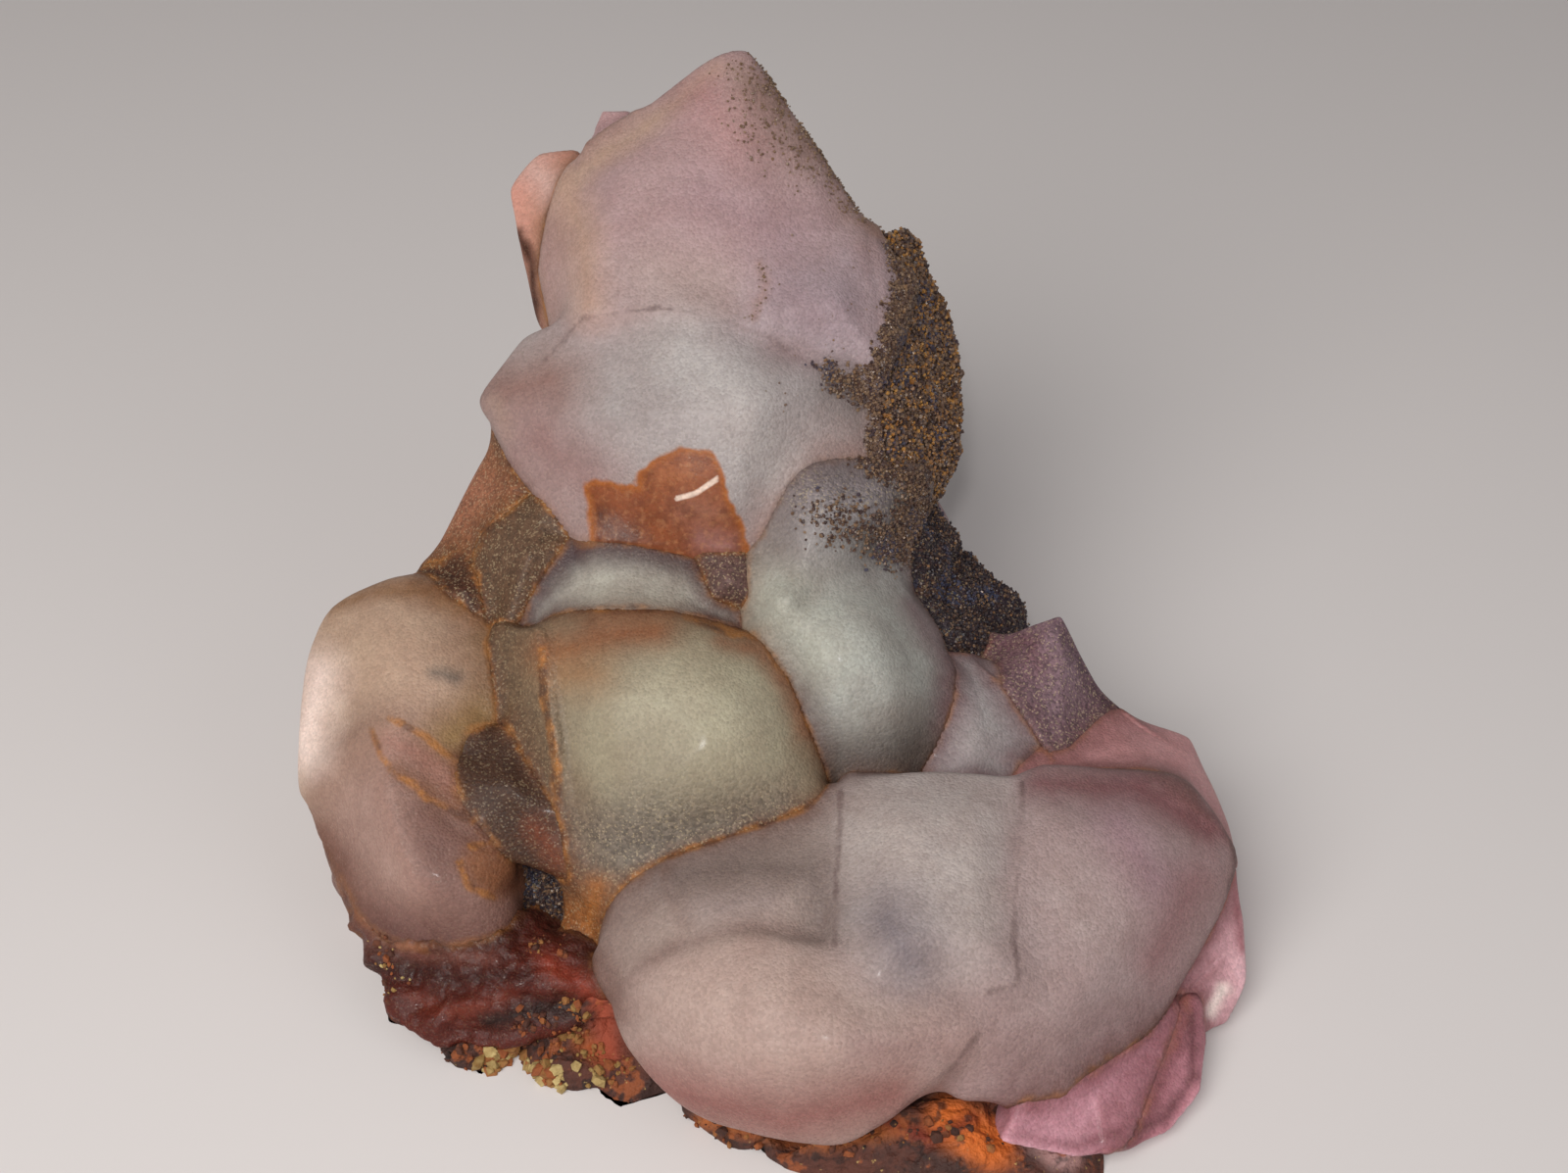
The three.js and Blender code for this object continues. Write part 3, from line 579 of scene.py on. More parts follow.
pearls = grow(
    "pearls",
    crystal(
        core=(138, 129, 131), rim=(104, 92, 92), rust=0.15, soft=SOFT, root=(4, 6, -18),
        corners=[
            (-3.8, 7.3, 3), (-2.5, 10.8, 3), (0, 13.3, 3), (4, 14.9, 2), (8, 14.8, 0), (11.5, 13.8, -2),
            (14.2, 11.3, -4), (14, 8.8, -4), (10.5, 0, 1), (-3.5, 0.5, 5), (3, 9, 9), (8, 8, 7),
            (2, 3, 9),
        ],
    ),
    crystal(
        core=(156, 156, 144), rim=(138, 120, 98), rust=0.5, soft=SOFT, root=(0, -3, -10),
        corners=[
            (-3.5, 0.8, 4), (-2.5, 2.2, 4), (0, 2.9, 4), (3, 2, 6), (2.2, -4.9, 8.5), (-1, -6.4, 8),
            (-3, -5.4, 7), (0, -1.5, 11.5),
        ],
    ),
    crystal(
        core=(160, 160, 153), rim=(92, 76, 76), rust=0.5, soft=SOFT, root=(6, -8, -14),
        corners=[
            (3, 2.8, 5), (8, 2.8, 3), (11, 0.9, 3), (14, -2.6, 3), (16, -6.7, 3), (16.9, -10.2, 4),
            (16.1, -13.7, 5), (14, -17.4, 6), (11.5, -20.4, 7), (7, -20.8, 8), (3, -19, 8), (1, -10, 7),
            (-1, -6.7, 7), (4, -6, 12.5), (9, -4, 11.5), (11, -12, 12), (5, -14, 12),
        ],
    ),
    blend=3.4,
    fade=2.2,
)
stains(pearls, [
    # Painted shade along the smoky dome's upper rim.
    ((84, 78, 78), [(-3, 9.6), (-1, 12.4), (4, 14), (9, 14)], 0.4, 1.6, 0.8),
    ((70, 62, 57), [(12.6, 10), (12, 6), (8.4, 4)], 1.4, 3, 0.9),
    ((172, 172, 160), [(-1, -1), (4, -7)], 2, 3.6, 0.8),
    ((82, 70, 64), [(3, -19), (9, -20), (14, -16.6)], 3, 4),
    ((112, 84, 88), [(13, -2), (16.6, -8), (16.2, -14)], 0.6, 2.2),
    ((110, 92, 84), [(9, -13), (13, -13)], 1, 3, 0.5),
])
strengthen(pearls, "sparkle", [(3, 9), (10, 9), (12, 4)], width=2, soft=2)

# The right shoulder above the big lobe: a grey slope, a little sharp pyramid with sparkling druse, and the
# pink band that runs to the right edge.
grow("grey_slope", crystal(
    core=(168, 163, 161), rim=(112, 86, 90), rust=0.35, soft=SOFT, root=(18, -14, -14),
    corners=[
        (15.5, -7.2, 0), (18, -7.6, -1), (21.5, -8.9, -1), (26.3, -13, -1), (28, -16.2, 0),
        (23, -21.5, 4), (19, -21.5, 5), (13.5, -21, 5), (13, -12, 2), (19, -12, 4.5), (19, -17, 7),
    ],
))
little_pyramid = grow("little_pyramid", crystal(
    core=(126, 102, 110), rim=(96, 70, 76), rust=0.2, sparkle=0.9, soft=KEEN, root=(24, -14, -22),
    corners=[
        (28, -3.6, -1), (20, -6.7, -6), (23.4, -10.4, 1), (28.2, -17.2, 2.5), (33.4, -14.2, -4),
        (27, -10, -16),
    ],
))
stains(little_pyramid, [
    ((104, 72, 78), [(21, -6.6), (25, -5.4), (26, -8)], 1, 2.6),
    ((78, 56, 64), [(28, -3.8), (31, -9), (33.4, -14)], 0.5, 1.2),
])
grow("right_band", crystal(
    core=(192, 142, 142), rim=(134, 88, 88), rust=0.35, soft=CRISP, root=(34, -22, -14),
    corners=[
        (26, -14.5, -2), (33, -13.6, -3), (39.6, -15.2, -4), (41.2, -15.8, -4), (42.6, -19.1, -3),
        (45.2, -25.2, 0), (45.8, -28, 3), (40, -22, 8), (24.5, -20.4, 6), (36, -18, 4.5),
    ],
))

# The big lobe at the lower right: five points grown side by side into almost one surface. Faint painted
# shade darkens the creases between them, where fine cracks also run.
lobe = grow(
    "lobe",
    crystal(
        core=(152, 135, 127), rim=(112, 90, 84), rust=0.8, soft=SOFT, root=(-6, -34, 0),
        corners=[
            (5.8, -21.5, 12), (0, -24.9, 14), (-5, -26.3, 15), (-11, -28.1, 15.5), (-15.1, -30.6, 15),
            (-17.6, -34.1, 15), (-19, -37.2, 15), (-18.2, -40.2, 16), (5.5, -38, 22), (-14, -46, 20),
            (4, -44, 24), (-8, -34, 22), (2, -30, 21), (-12, -40, 21),
        ],
    ),
    crystal(
        core=(168, 156, 152), rim=(122, 102, 100), rust=0.8, soft=CRISP, root=(14, -30, -2),
        corners=[
            (7, -20, 12), (11, -19.6, 13), (16, -19.1, 13), (20, -19.5, 13), (24, -20, 13),
            (23.5, -27.2, 17), (23, -36.2, 22), (24, -41, 25.5), (15, -41.7, 27.5), (8, -41, 27.5),
            (5.2, -36.7, 25), (5.5, -29.2, 20), (5.6, -22.2, 14), (12, -24, 20), (19, -24, 19.5),
            (20, -36, 27), (12, -36, 28.5),
        ],
    ),
    crystal(
        core=(160, 138, 136), rim=(112, 78, 80), rust=0.7, soft=CRISP, root=(29, -33, -4),
        corners=[
            (24.5, -19.9, 12), (26, -18.6, 11), (30, -18.5, 10), (36, -19.6, 9), (40, -20.3, 8),
            (43, -23, 8), (45.9, -27.7, 9), (44.6, -32.2, 11), (40.6, -39.4, 14), (36.2, -44.9, 17),
            (27, -51, 22), (18.5, -51.6, 24), (20, -40, 26), (27, -24, 18), (36, -25, 16.5),
            (38, -32, 18), (30, -41, 25), (22, -45, 27), (24, -30, 22),
        ],
    ),
    crystal(
        core=(150, 122, 118), rim=(122, 92, 90), rust=0.3, soft=SOFT, root=(18, -44, 8),
        corners=[
            (11.5, -41.5, 26), (23.5, -40.5, 25), (27.5, -46, 23), (27, -50.4, 22), (18.5, -51, 23),
            (13.5, -51, 24), (18, -46, 28),
        ],
    ),
    crystal(
        core=(170, 146, 137), rim=(130, 94, 92), rust=0.5, soft=SOFT, root=(1, -44, 8),
        corners=[
            (-16, -41.2, 19), (-12.5, -38.5, 22), (-3.2, -35.6, 25), (4, -37.3, 26), (12.5, -42.5, 28),
            (18.5, -44.2, 28), (19.2, -45.9, 28), (17, -49, 27), (10, -54.9, 26), (6, -57.1, 25),
            (0, -56.4, 24.5), (-8.5, -54.3, 22), (-11, -52.7, 21), (-15, -48.7, 20), (-16.9, -44.2, 19),
            (-8, -44, 28), (0, -42, 30.5), (8, -47, 32), (-2, -50, 31),
        ],
    ),
    blend=2.4,
    fade=1.5,
)
stains(lobe, [
    ((112, 96, 91), [(-12, -29.6), (-4, -28.6), (3, -29), (4, -34)], 1.4, 3.4),
    ((140, 124, 122), [(-8, -33), (-2, -32)], 1, 2.4, 0.6),
    ((104, 96, 104), [(10.6, -34), (12.8, -38)], 2, 5, 0.9),
    ((146, 108, 122), [(34, -24), (38, -30)], 1.5, 4, 0.6),
    ((196, 186, 180), [(12.6, -27), (16, -29)], 1, 3, 0.5),
    ((180, 168, 162), [(10, -25), (18, -24), (20, -33)], 1.4, 3.6, 0.6),
    ((118, 64, 68), [(26, -20), (36, -20.6), (43.4, -25)], 0.9, 3),
    ((172, 154, 150), [(28, -30), (31, -35)], 2, 5, 0.8),
    ((140, 98, 100), [(42, -30), (38, -38)], 1.5, 3.5, 0.9),
    ((138, 88, 82), [(-14, -51), (0, -54.6), (11, -52)], 2.4, 4),
    ((140, 110, 108), [(8, -47), (15, -47)], 1.4, 3, 0.6),
    ((182, 160, 150), [(-9, -42), (0, -41)], 2, 5, 0.7),
    ((112, 84, 76), [(-18.6, -38), (-16.6, -44)], 0.6, 2.4),
])
LOBE_EDGE = [(45.2, -24), (46.2, -28.2), (45, -33), (41.4, -39.8), (36.8, -45.4), (30.4, -49.4)]
stain(lobe, (96, 66, 60), LOBE_EDGE, width=0.1, soft=0.7)
vein(
    lobe,
    LOBE_EDGE,
    [(24.4, -20), (24, -28), (23.4, -36), (24, -40.6), (21, -41.4)],
    [(5.8, -21), (5.4, -29), (5.2, -36.6)],
    [(20, -45.4), (17.4, -49), (11.6, -53.6)],
    layer="crack",
)

# The skirt: three small translucent pink points under the overhanging right edge. Painted shade darkens
# their rims, and one of them has a chip.
skirt_back = grow("skirt_back", crystal(
    core=(216, 172, 178), rim=(142, 88, 94), rust=0.25, soft=CRISP, root=(36, -34, -6),
    corners=[
        (45, -29.4, 6), (46, -33.2, 6), (47, -36.7, 6), (46.5, -40.4, 8), (44.6, -43.9, 9),
        (41.4, -44.6, 11), (37, -42, 12), (40, -32, 9),
    ],
))
skirt_middle = grow("skirt_middle", crystal(
    core=(212, 152, 164), rim=(132, 74, 82), rust=0.25, soft=CRISP, root=(32, -45, 4),
    corners=[
        (41.5, -43, 12), (42.1, -46.2, 13), (41.8, -50.9, 16), (38.5, -54.9, 18.5), (33.8, -56.1, 20),
        (33.5, -51, 18), (38.4, -43.6, 13),
    ],
))
skirt_front = grow("skirt_front", crystal(
    core=(208, 156, 168), rim=(132, 76, 84), rust=0.25, soft=CRISP, root=(26, -48, 8),
    corners=[
        (26, -50.8, 22), (33, -46.8, 18), (39, -43.6, 13.5), (35, -51.7, 19.5), (34, -55.9, 21),
        (30, -57.4, 22.5), (23, -56, 24),
    ],
))

# The dark strokes on the skirt's edges, here and below, are painted shade along their rims.
stains(skirt_back, [
    ((232, 214, 208), [(43.4, -43.4), (45, -41)], 0.6, 0.7),
    ((150, 88, 94), [(45.6, -30), (46.8, -37)], 0.3, 1),
])
MIDDLE_RIM_SHADE = [(41.4, -44), (41.8, -50), (38.6, -54.4), (34, -56)]
stain(skirt_middle, (112, 66, 72), MIDDLE_RIM_SHADE, width=0.5, soft=0.9)
stain(skirt_front, (126, 74, 82), [(24, -56), (30, -57.2), (34, -55.6)], width=0.3, soft=0.9)

# The left lobe: a pale upper dome and a mauve lower one with swirls, grown together, and the brown wedge
# between it and the heart. Its lower right corner is broken away over a small dark cavity.
left = grow(
    "left",
    crystal(
        core=(175, 148, 127), rim=(128, 90, 64), rust=0.6, soft=SOFT, root=(-34, -10, -16),
        corners=[
            (-48, -5, -2), (-46.6, -2.4, -2), (-44.2, -0.8, -1), (-38.8, 0.8, 0), (-35.4, -0.8, 1),
            (-31.4, -2.8, 2), (-28.8, -5.5, 3), (-29.8, -10.2, 4), (-28.8, -15.8, 6), (-31.6, -17.5, 7),
            (-48.2, -8.7, -1), (-49, -11.8, 0), (-50.8, -18, 0), (-48.2, -21.8, 1), (-42, -6, 6),
            (-36, -5, 6.5), (-34, -11, 9), (-40, -15, 9.5), (-46, -16, 4),
        ],
    ),
    crystal(
        core=(142, 110, 100), rim=(106, 70, 60), rust=0.35, soft=SOFT, root=(-33, -26, -6),
        corners=[
            (-47.1, -23.8, 2), (-46, -27.5, 3), (-44.8, -31.5, 4), (-41.7, -35.9, 6), (-37, -37.4, 9),
            (-31, -36.8, 11), (-29, -35, 11), (-27.8, -30, 10), (-29.4, -26.6, 11), (-33, -24, 11),
            (-33.6, -20.8, 10.5), (-36, -17, 10), (-39.6, -14.3, 10), (-42.4, -15.4, 8), (-47, -19.5, 4),
            (-41, -20, 12.5), (-37.4, -22, 13), (-38, -30, 15), (-32, -31, 14.5),
        ],
    ),
    blend=4.5,
    fade=2.2,
)
stains(left, [
    ((238, 216, 206), [(-47.5, -9), (-49, -17)], 1.6, 3.4),
    ((144, 115, 71), [(-30.6, -13), (-34, -15.5)], 1.6, 3.2),
    ((92, 84, 78), [(-35.6, -8.8), (-33.4, -9.3)], 0.5, 1, 0.9),
    ((122, 84, 50), [(-46, -2), (-42, -0.6), (-37, -0.6), (-32, -3), (-29.6, -6)], 0.4, 1.4),
    ((128, 104, 78), [(-31, -6), (-30, -11)], 0.6, 2.2, 0.8),
    ((152, 106, 92), [(-40, -16), (-36.6, -17.4), (-33.6, -21)], 1.0, 1.6, 0.8),
    ((126, 84, 58), [(-39.6, -18.6), (-36, -21.2), (-32, -23.6)], 0.5, 1.2, 0.8),
])
CHIP = [
    (-33.2, -28.2), (-32, -30.6), (-29.6, -31.8), (-27, -31.2), (-25.8, -28.6), (-27, -26.6),
    (-30, -26.2), (-32, -26.6),
]
stain(left, (128, 82, 54), CHIP, closed=True, soft=1.3)
stains(left, [
    # Painted shade on the right side of the chipped bump.
    ((84, 48, 34), [(-28.6, -31), (-26.4, -28.4), (-27.4, -26.8)], 0.4, 1),
    ((92, 60, 58), [(-42, -34.6), (-34, -37), (-27, -36)], 1.0, 3),
    ((112, 80, 74), [(-36, -27), (-33, -33)], 1, 3, 0.6),
    ((176, 146, 134), [(-43, -22), (-40, -29)], 1, 3.5, 0.7),
])
vein(
    left,
    [(-40.2, -13.4), (-36.5, -15.4), (-34.7, -17.2), (-33, -18.7), (-32.2, -22)],
    [
        (-42, -14.7), (-41.2, -17.2), (-39.7, -19.2), (-37.7, -20.2), (-36.5, -21.7), (-34.5, -22.7),
        (-29.5, -25.7),
    ],
    CHIP[:3],
    CHIP[4:],
    thin=0.1,
)
LEFT_CRACKS = [[(-38.4, -23.6), (-37.8, -22.8), (-37.2, -21.8)], [(-46, -27), (-43, -33), (-38, -36.6)]]
vein(left, *LEFT_CRACKS, layer="crack")
brown_wedge = grow("brown_wedge", crystal(
    core=(70, 42, 24), rim=(50, 26, 14), rust=0.9, sparkle=0.3, soft=CRISP, root=(-25, -19, -8),
    corners=[
        (-31.6, -15.6, 8), (-28.2, -15.4, 8), (-26, -18.7, 9), (-22.4, -23.8, 10.5), (-21.6, -28.6, 11),
        (-25.4, -28, 11), (-30, -25, 11), (-33, -22, 10.5), (-33.5, -19, 9.5), (-28, -20.6, 12),
    ],
))
stain(brown_wedge, (110, 54, 30), [(-25.4, -24.6), (-23, -27.6)], width=1, soft=2)
cavity = grow("cavity", crystal(
    core=(46, 32, 24), rim=(30, 20, 16), rust=0.4, sparkle=1, soft=CRISP, root=(-23, -28, -4),
    corners=[
        (-26.5, -26, 6), (-22, -26, 6), (-20.5, -31, 6), (-20.8, -36, 6), (-24.5, -37, 5.5),
        (-27.5, -32, 5.5),
    ],
))

# The foot of the left lobe: glassy quartz that the iron has stained dark red-brown, on top of the rock.
foot = grow("foot", crystal(
    core=(80, 24, 12), rim=(52, 16, 8), rust=0.3, soft=SOFT, root=(-30, -34, 2),
    corners=[
        (-44.8, -28.2, 4), (-43, -34, 6), (-41, -38.7, 8), (-39.5, -43.2, 10.5), (-37, -45.5, 12),
        (-32, -46.5, 12.5), (-26, -45.7, 13), (-21, -44, 13.5), (-18.5, -41.2, 14), (-20, -38.4, 12.5),
        (-25, -37, 11.4), (-32, -36.4, 11.5), (-30, -41, 14), (-25, -40, 14.5),
    ],
), relief=(2.6, 1.1))
stains(foot, [
    ((126, 84, 76), [(-44, -29), (-41.4, -35), (-38, -36.6)], 1.0, 2),
    ((110, 62, 52), [(-37, -37.6), (-30, -38)], 0.5, 1.4, 0.8),
    ((44, 12, 8), [(-42, -38.6), (-34, -40), (-26, -39.6)], 0.5, 1.2, 0.8),
    ((112, 44, 26), [(-38, -42), (-34, -43.6), (-28, -42)], 0.4, 1.2, 0.8),
    ((34, 14, 10), [(-30, -44.4), (-25, -43), (-21, -43.4)], 0.9, 1.4),
    ((140, 54, 34), [(-24, -38.6), (-20.6, -40.6), (-18.8, -43)], 0.8, 1.6, 0.9),
])

# The ledges left of the collar: brown and grey sugary faces with golden sparkle. A rusty wedge fills the
# gap between them and the left lobe.
grow("left_ledge", crystal(
    core=(144, 94, 70), rim=(112, 70, 38), rust=1, sparkle=0.8, soft=CRISP, root=(-18, 8, -20),
    corners=[
        (-27.4, 18, -5), (-28.8, 14, -6), (-32, 9, -7), (-33.6, 4.4, -7), (-36.4, 0.8, -5),
        (-31, -1, -1), (-24, 4.5, -1), (-20, 5.8, -1), (-24, 14, -1), (-28, 9, 0),
    ],
))
grow("grey_wedge", crystal(
    core=(104, 78, 60), rim=(80, 58, 38), rust=0.9, sparkle=0.7, soft=CRISP, root=(-21, 1, -14),
    corners=[
        (-30.4, 2.1, 0), (-29.9, 4.6, 0), (-26.3, 7.5, 1), (-23.6, 9.2, 1), (-19.2, 5.2, 1),
        (-23.4, 3, 3), (-26.8, -1.4, 3.5), (-28.3, -4.2, 3.5), (-29.5, -5.8, 2.5), (-30.8, -3.9, 1),
        (-31.2, -0.4, 0), (-26.2, 3, 5),
    ],
))
grow("rust_wedge", crystal(
    core=(78, 36, 18), rim=(52, 26, 12), rust=1, sparkle=0.8, soft=CRISP, root=(-28, -2, -12),
    corners=[
        (-36, 1, -4), (-32.4, 2.1, -2), (-30.6, 1.2, -1), (-30, -3.2, 0.5), (-29.2, -6, 1.5),
        (-32.4, -5, 0), (-38.6, -1.4, -3), (-32.5, -0.5, 2),
    ],
))

# The sides and the back: stubby six-sided points round one mass of quartz. They are duller, and stained
# near the rock.
SHOULDER = 0.62
STUB_WAIST = 0.85
STAINED_BELOW = 12
STUBS = [
    ((0, 20, 24), (10, 42, 39), 17),
    ((-12, 18, 24), (-23, 41, 41), 18),
    ((-8, 14, 14), (-8, 45, 30), 21),
    ((-14, 12, 12), (-31, 36, 26), 18),
    ((2, 12, 12), (14, 38, 23), 17),
    ((-12, 14, 8), (-30, 39, 13), 21),
    ((-4, 14, 9), (-7, 45, 14), 21),
    ((4, 12, 7), (18, 37, 11), 20),
    ((-22, 4, 8), (-41, 17, 15), 18),
    ((-28, -6, 4), (-48, -2, 9), 18),
    ((-28, -16, 2), (-46, -19, 5), 15),
    ((8, 4, 4), (24, 18, 8), 16),
    ((16, -6, 3), (32, 5, 8), 15),
    ((22, -14, 3), (42, -8, 6), 14),
]
MASSES = [
    [
        (-16, 0, 2), (12, -2, 2), (-20, 30, 2), (10, 30, 2), (-20, 34, 24), (10, 34, 24), (-10, 28, 44),
        (-2, 28, 44), (6, 12, 34), (-18, 10, 34), (-10, 0, 26), (5, 2, 26),
    ],
    [
        (-40, -4, 2), (-40, -20, 2), (-22, -30, 2), (-34, 14, 2), (-19, 16, 25), (-36, 0, 16),
        (-36, -14, 12), (-12, -20, 16), (-8, -28, 2), (-8, 10, 2),
    ],
    [
        (-12, -38, 2), (28, -40, 2), (38, -26, 2), (38, -4, 2), (22, 16, 2), (6, 4, 26), (24, -2, 12),
        (32, -14, 10), (-8, -22, 16), (22, -28, 12), (-6, 8, 2),
    ],
]


def stub(base, tip, width):
    foot, point = np.array(base, float), np.array(tip, float)
    axis = (point - foot) / np.linalg.norm(point - foot)
    across = np.cross((0, 0, 1), axis)
    across /= np.linalg.norm(across)
    upward = np.cross(axis, across)

    def ring(share, radius):
        turns = [math.radians(60 * i) for i in range(6)]
        middle = foot + (point - foot) * share
        return [middle + radius * (across * math.cos(turn) + upward * math.sin(turn)) for turn in turns]

    points = ring(0, width / 2 * STUB_WAIST) + ring(SHOULDER, width / 2) + [point]
    near_rock = min(base[2], tip[2]) < STAINED_BELOW
    core = (150, 122, 122) if near_rock else (170, 146, 152)
    rim = (104, 72, 64) if near_rock else (128, 100, 104)
    return rounded_stone(points, sum(points) / len(points), SOFT, SKIN, core=core, rim=rim, rust=0.6)


def mass(corners):
    points = [np.array(corner, float) for corner in corners]
    middle = sum(points) / len(points)
    return rounded_stone(points, middle, CRISP, 0, core=(112, 78, 66), rim=(84, 50, 38), rust=0.8)


back_members = [mass(corners) for corners in MASSES] + [stub(*each) for each in STUBS]
grow("back", *back_members, blend=0.8, voxel=0.65, rounds=1)

# Where the points meet, the chalcedony skin has filled the creases between them. Each piece is drawn up to
# that fill, is given the faint waves of the skin, and stores how far it is from its neighbours as its gap.
LONGEST_RISE = 0.5
PART_WAY = 0.85
for name, (piece, members, blend, fill, relief) in grown.items():
    neighbours = [stone for other, entry in grown.items() if other != name for stone in entry[1]]
    for _ in range(SETTLINGS):
        places = places_of(piece.data)
        own = smooth_lowest([height_over(stone, places) for stone in members], blend)
        gap = np.min([height_over(stone, places) for stone in neighbours], axis=0)
        overlap = np.clip(1 - abs(own - gap) / fill, 0, 1)
        rise = np.clip(overlap**2 * fill / 4 - own, -LONGEST_RISE, LONGEST_RISE) * PART_WAY
        put_places(piece.data, places + places_of(piece.data, "normal") * rise[:, None])
    size, amount = relief
    waves = noise_at(places, size) * amount + noise_at(places, size / 3, 1) * amount / 4
    places = places_of(piece.data) + places_of(piece.data, "normal") * waves[:, None]
    put_places(piece.data, inside_frame(places))
    set_attribute(piece.data, "gap", gap - own)


# The frosted chalcedony skin: milky quartz under a sugary crust of fine grains, translucent, with painted
# shade darkening each rim and crease, stained gold to rust along the seams, with rust and painted shade in
# the crevices, and painted glints among the grains. All the quartz pieces share it.
class Wire:
    """A socket of a shader. Arithmetic on it adds the nodes."""

    def __init__(self, tree, socket=None):
        self.tree = tree
        self.socket = socket

    def node(self, kind, settings, inputs, out=0):
        made = self.tree.nodes.new("ShaderNode" + kind)
        for setting, value in settings.items():
            setattr(made, setting, value)
        for place, value in inputs.items():
            if isinstance(value, Wire):
                self.tree.links.new(value.socket, made.inputs[place])
            else:
                made.inputs[place].default_value = value
        return Wire(self.tree, made.outputs[out])

    def maths(self, operation, *values):
        return self.node("Math", {"operation": operation}, dict(enumerate(values)))

    def __add__(self, other):
        return self.maths("ADD", self, other)

    def __sub__(self, other):
        return self.maths("SUBTRACT", self, other)

    def __rsub__(self, other):
        return self.maths("SUBTRACT", other, self)

    def __mul__(self, other):
        return self.maths("MULTIPLY", self, other)

    __radd__ = __add__
    __rmul__ = __mul__

    def between(self, low, high):
        """0 below low, 1 above high, and a smooth step in between."""
        limits = {"Value": self, "From Min": low, "From Max": high}
        return self.node("MapRange", {"interpolation_type": "SMOOTHSTEP"}, limits)

    def to(self, colour, share, blend="MIX"):
        """This colour changed towards another."""
        kind = {"data_type": "RGBA", "blend_type": blend}
        return self.node("Mix", kind, {"Factor": share, 6: self, 7: colour}, out=2)


def finish_of(name):
    material = bpy.data.materials.new(name)
    material.use_nodes = True
    return material, Wire(material.node_tree), material.node_tree.nodes["Principled BSDF"]


def grains_per(millimetres):
    return 1 / (millimetres * MM)


quartz_finish, shader, skin = finish_of("frosted quartz")
at = shader.node("TexCoord", {}, {}, out="Object")


def attribute(name, out="Fac"):
    return shader.node("Attribute", {"attribute_name": name}, {}, out=out)


def cloud(millimetres, detail=2):
    settings = {"Vector": at, "Scale": grains_per(millimetres), "Detail": detail}
    return shader.node("TexNoise", {}, settings)


wander = cloud(1.6, 3) - 0.5
gap = attribute("gap")
crease = attribute("crease")
rust = attribute("rust")
sparkle = attribute("sparkle")
SUGAR = 0.27
SUGAR_HEIGHT = 0.07
GLINTS = 0.16
grains = {"Vector": at, "Scale": grains_per(SUGAR)}
sugar = shader.node("TexVoronoi", {}, grains)
sugar_colour = shader.node("TexVoronoi", {}, grains, out="Color")
tone = shader.node("SeparateColor", {}, {"Color": sugar_colour}, out=0)
# Painted shade: each piece turns towards its darker rim colour near the neighbouring pieces and along the
# creases inside it.
shade_by_neighbours = 1 - (gap + wander * 2.6).between(-1.5, 6.2)
shade_in_creases = (1 - (crease + wander * 1.6).between(-0.8, 2.2)) * 0.34
painted_shade_share = shade_by_neighbours.maths("MAXIMUM", shade_by_neighbours, shade_in_creases)
colour = attribute("core", "Color").to(attribute("rim", "Color"), painted_shade_share)
mottle = cloud(4, 4).between(0.3, 0.7)
colour = colour.to(seen((206, 188, 184)), mottle * 0.3, "MULTIPLY")
seam = 1 - (gap + wander * 1.1).between(0.05, 0.8)
line = (attribute("vein") + wander * 0.8).between(VEIN_REACH - 0.7, VEIN_REACH - 0.2) * 0.75
stained = line.maths("MAXIMUM", line, seam * rust)
rusty = shader.node("ValToRGB", {}, {"Fac": cloud(2.2, 3).between(0.35, 0.65)})
ramp = rusty.socket.node.color_ramp
ramp.elements[0].color = seen((78, 42, 24))
ramp.elements[1].color = seen((170, 110, 48))
colour = colour.to(rusty, stained * 0.9)
crack = (attribute("crack") + wander * 1.1).between(VEIN_REACH - 0.5, VEIN_REACH)
crack = crack * cloud(7).between(0.3, 0.6)
colour = colour.to(seen((86, 62, 60)), crack * 0.6)
# Rust-brown close to the neighbouring pieces, as strong as the piece's rust: rust stain and painted shade in
# the crevices.
rust_and_shade_in_crevices = (1 - (gap + wander * 1.8).between(0, 2.4)) * rust * 0.45
colour = colour.to(seen((98, 62, 40)), rust_and_shade_in_crevices)
bare = (attribute("window") + wander * 1.1).between(VEIN_REACH - 0.3, VEIN_REACH + 0.25)
glass = attribute("glass", "Color").to(seen((92, 40, 14)), cloud(1.8, 4).between(0.45, 0.65) * 0.45)
window_edge = 1 - (attribute("window") + wander).between(VEIN_REACH + 0.1, VEIN_REACH + 1)
glass = glass.to(seen((160, 92, 36)), window_edge * 0.7)
glass = glass.to(seen((176, 124, 84)), cloud(0.6, 4).between(0.48, 0.72) * 0.3)
colour = colour.to(glass, bare)
scratch = (attribute("scratch") + wander * 0.2).between(VEIN_REACH - 0.4, VEIN_REACH - 0.15)
colour = colour.to(seen((222, 200, 184)), scratch * 0.9)
speckle = (tone - 0.5) * (sparkle * 0.5 + 0.24) + 1
colour = shader.node("VectorMath", {"operation": "SCALE"}, {0: colour, "Scale": speckle})
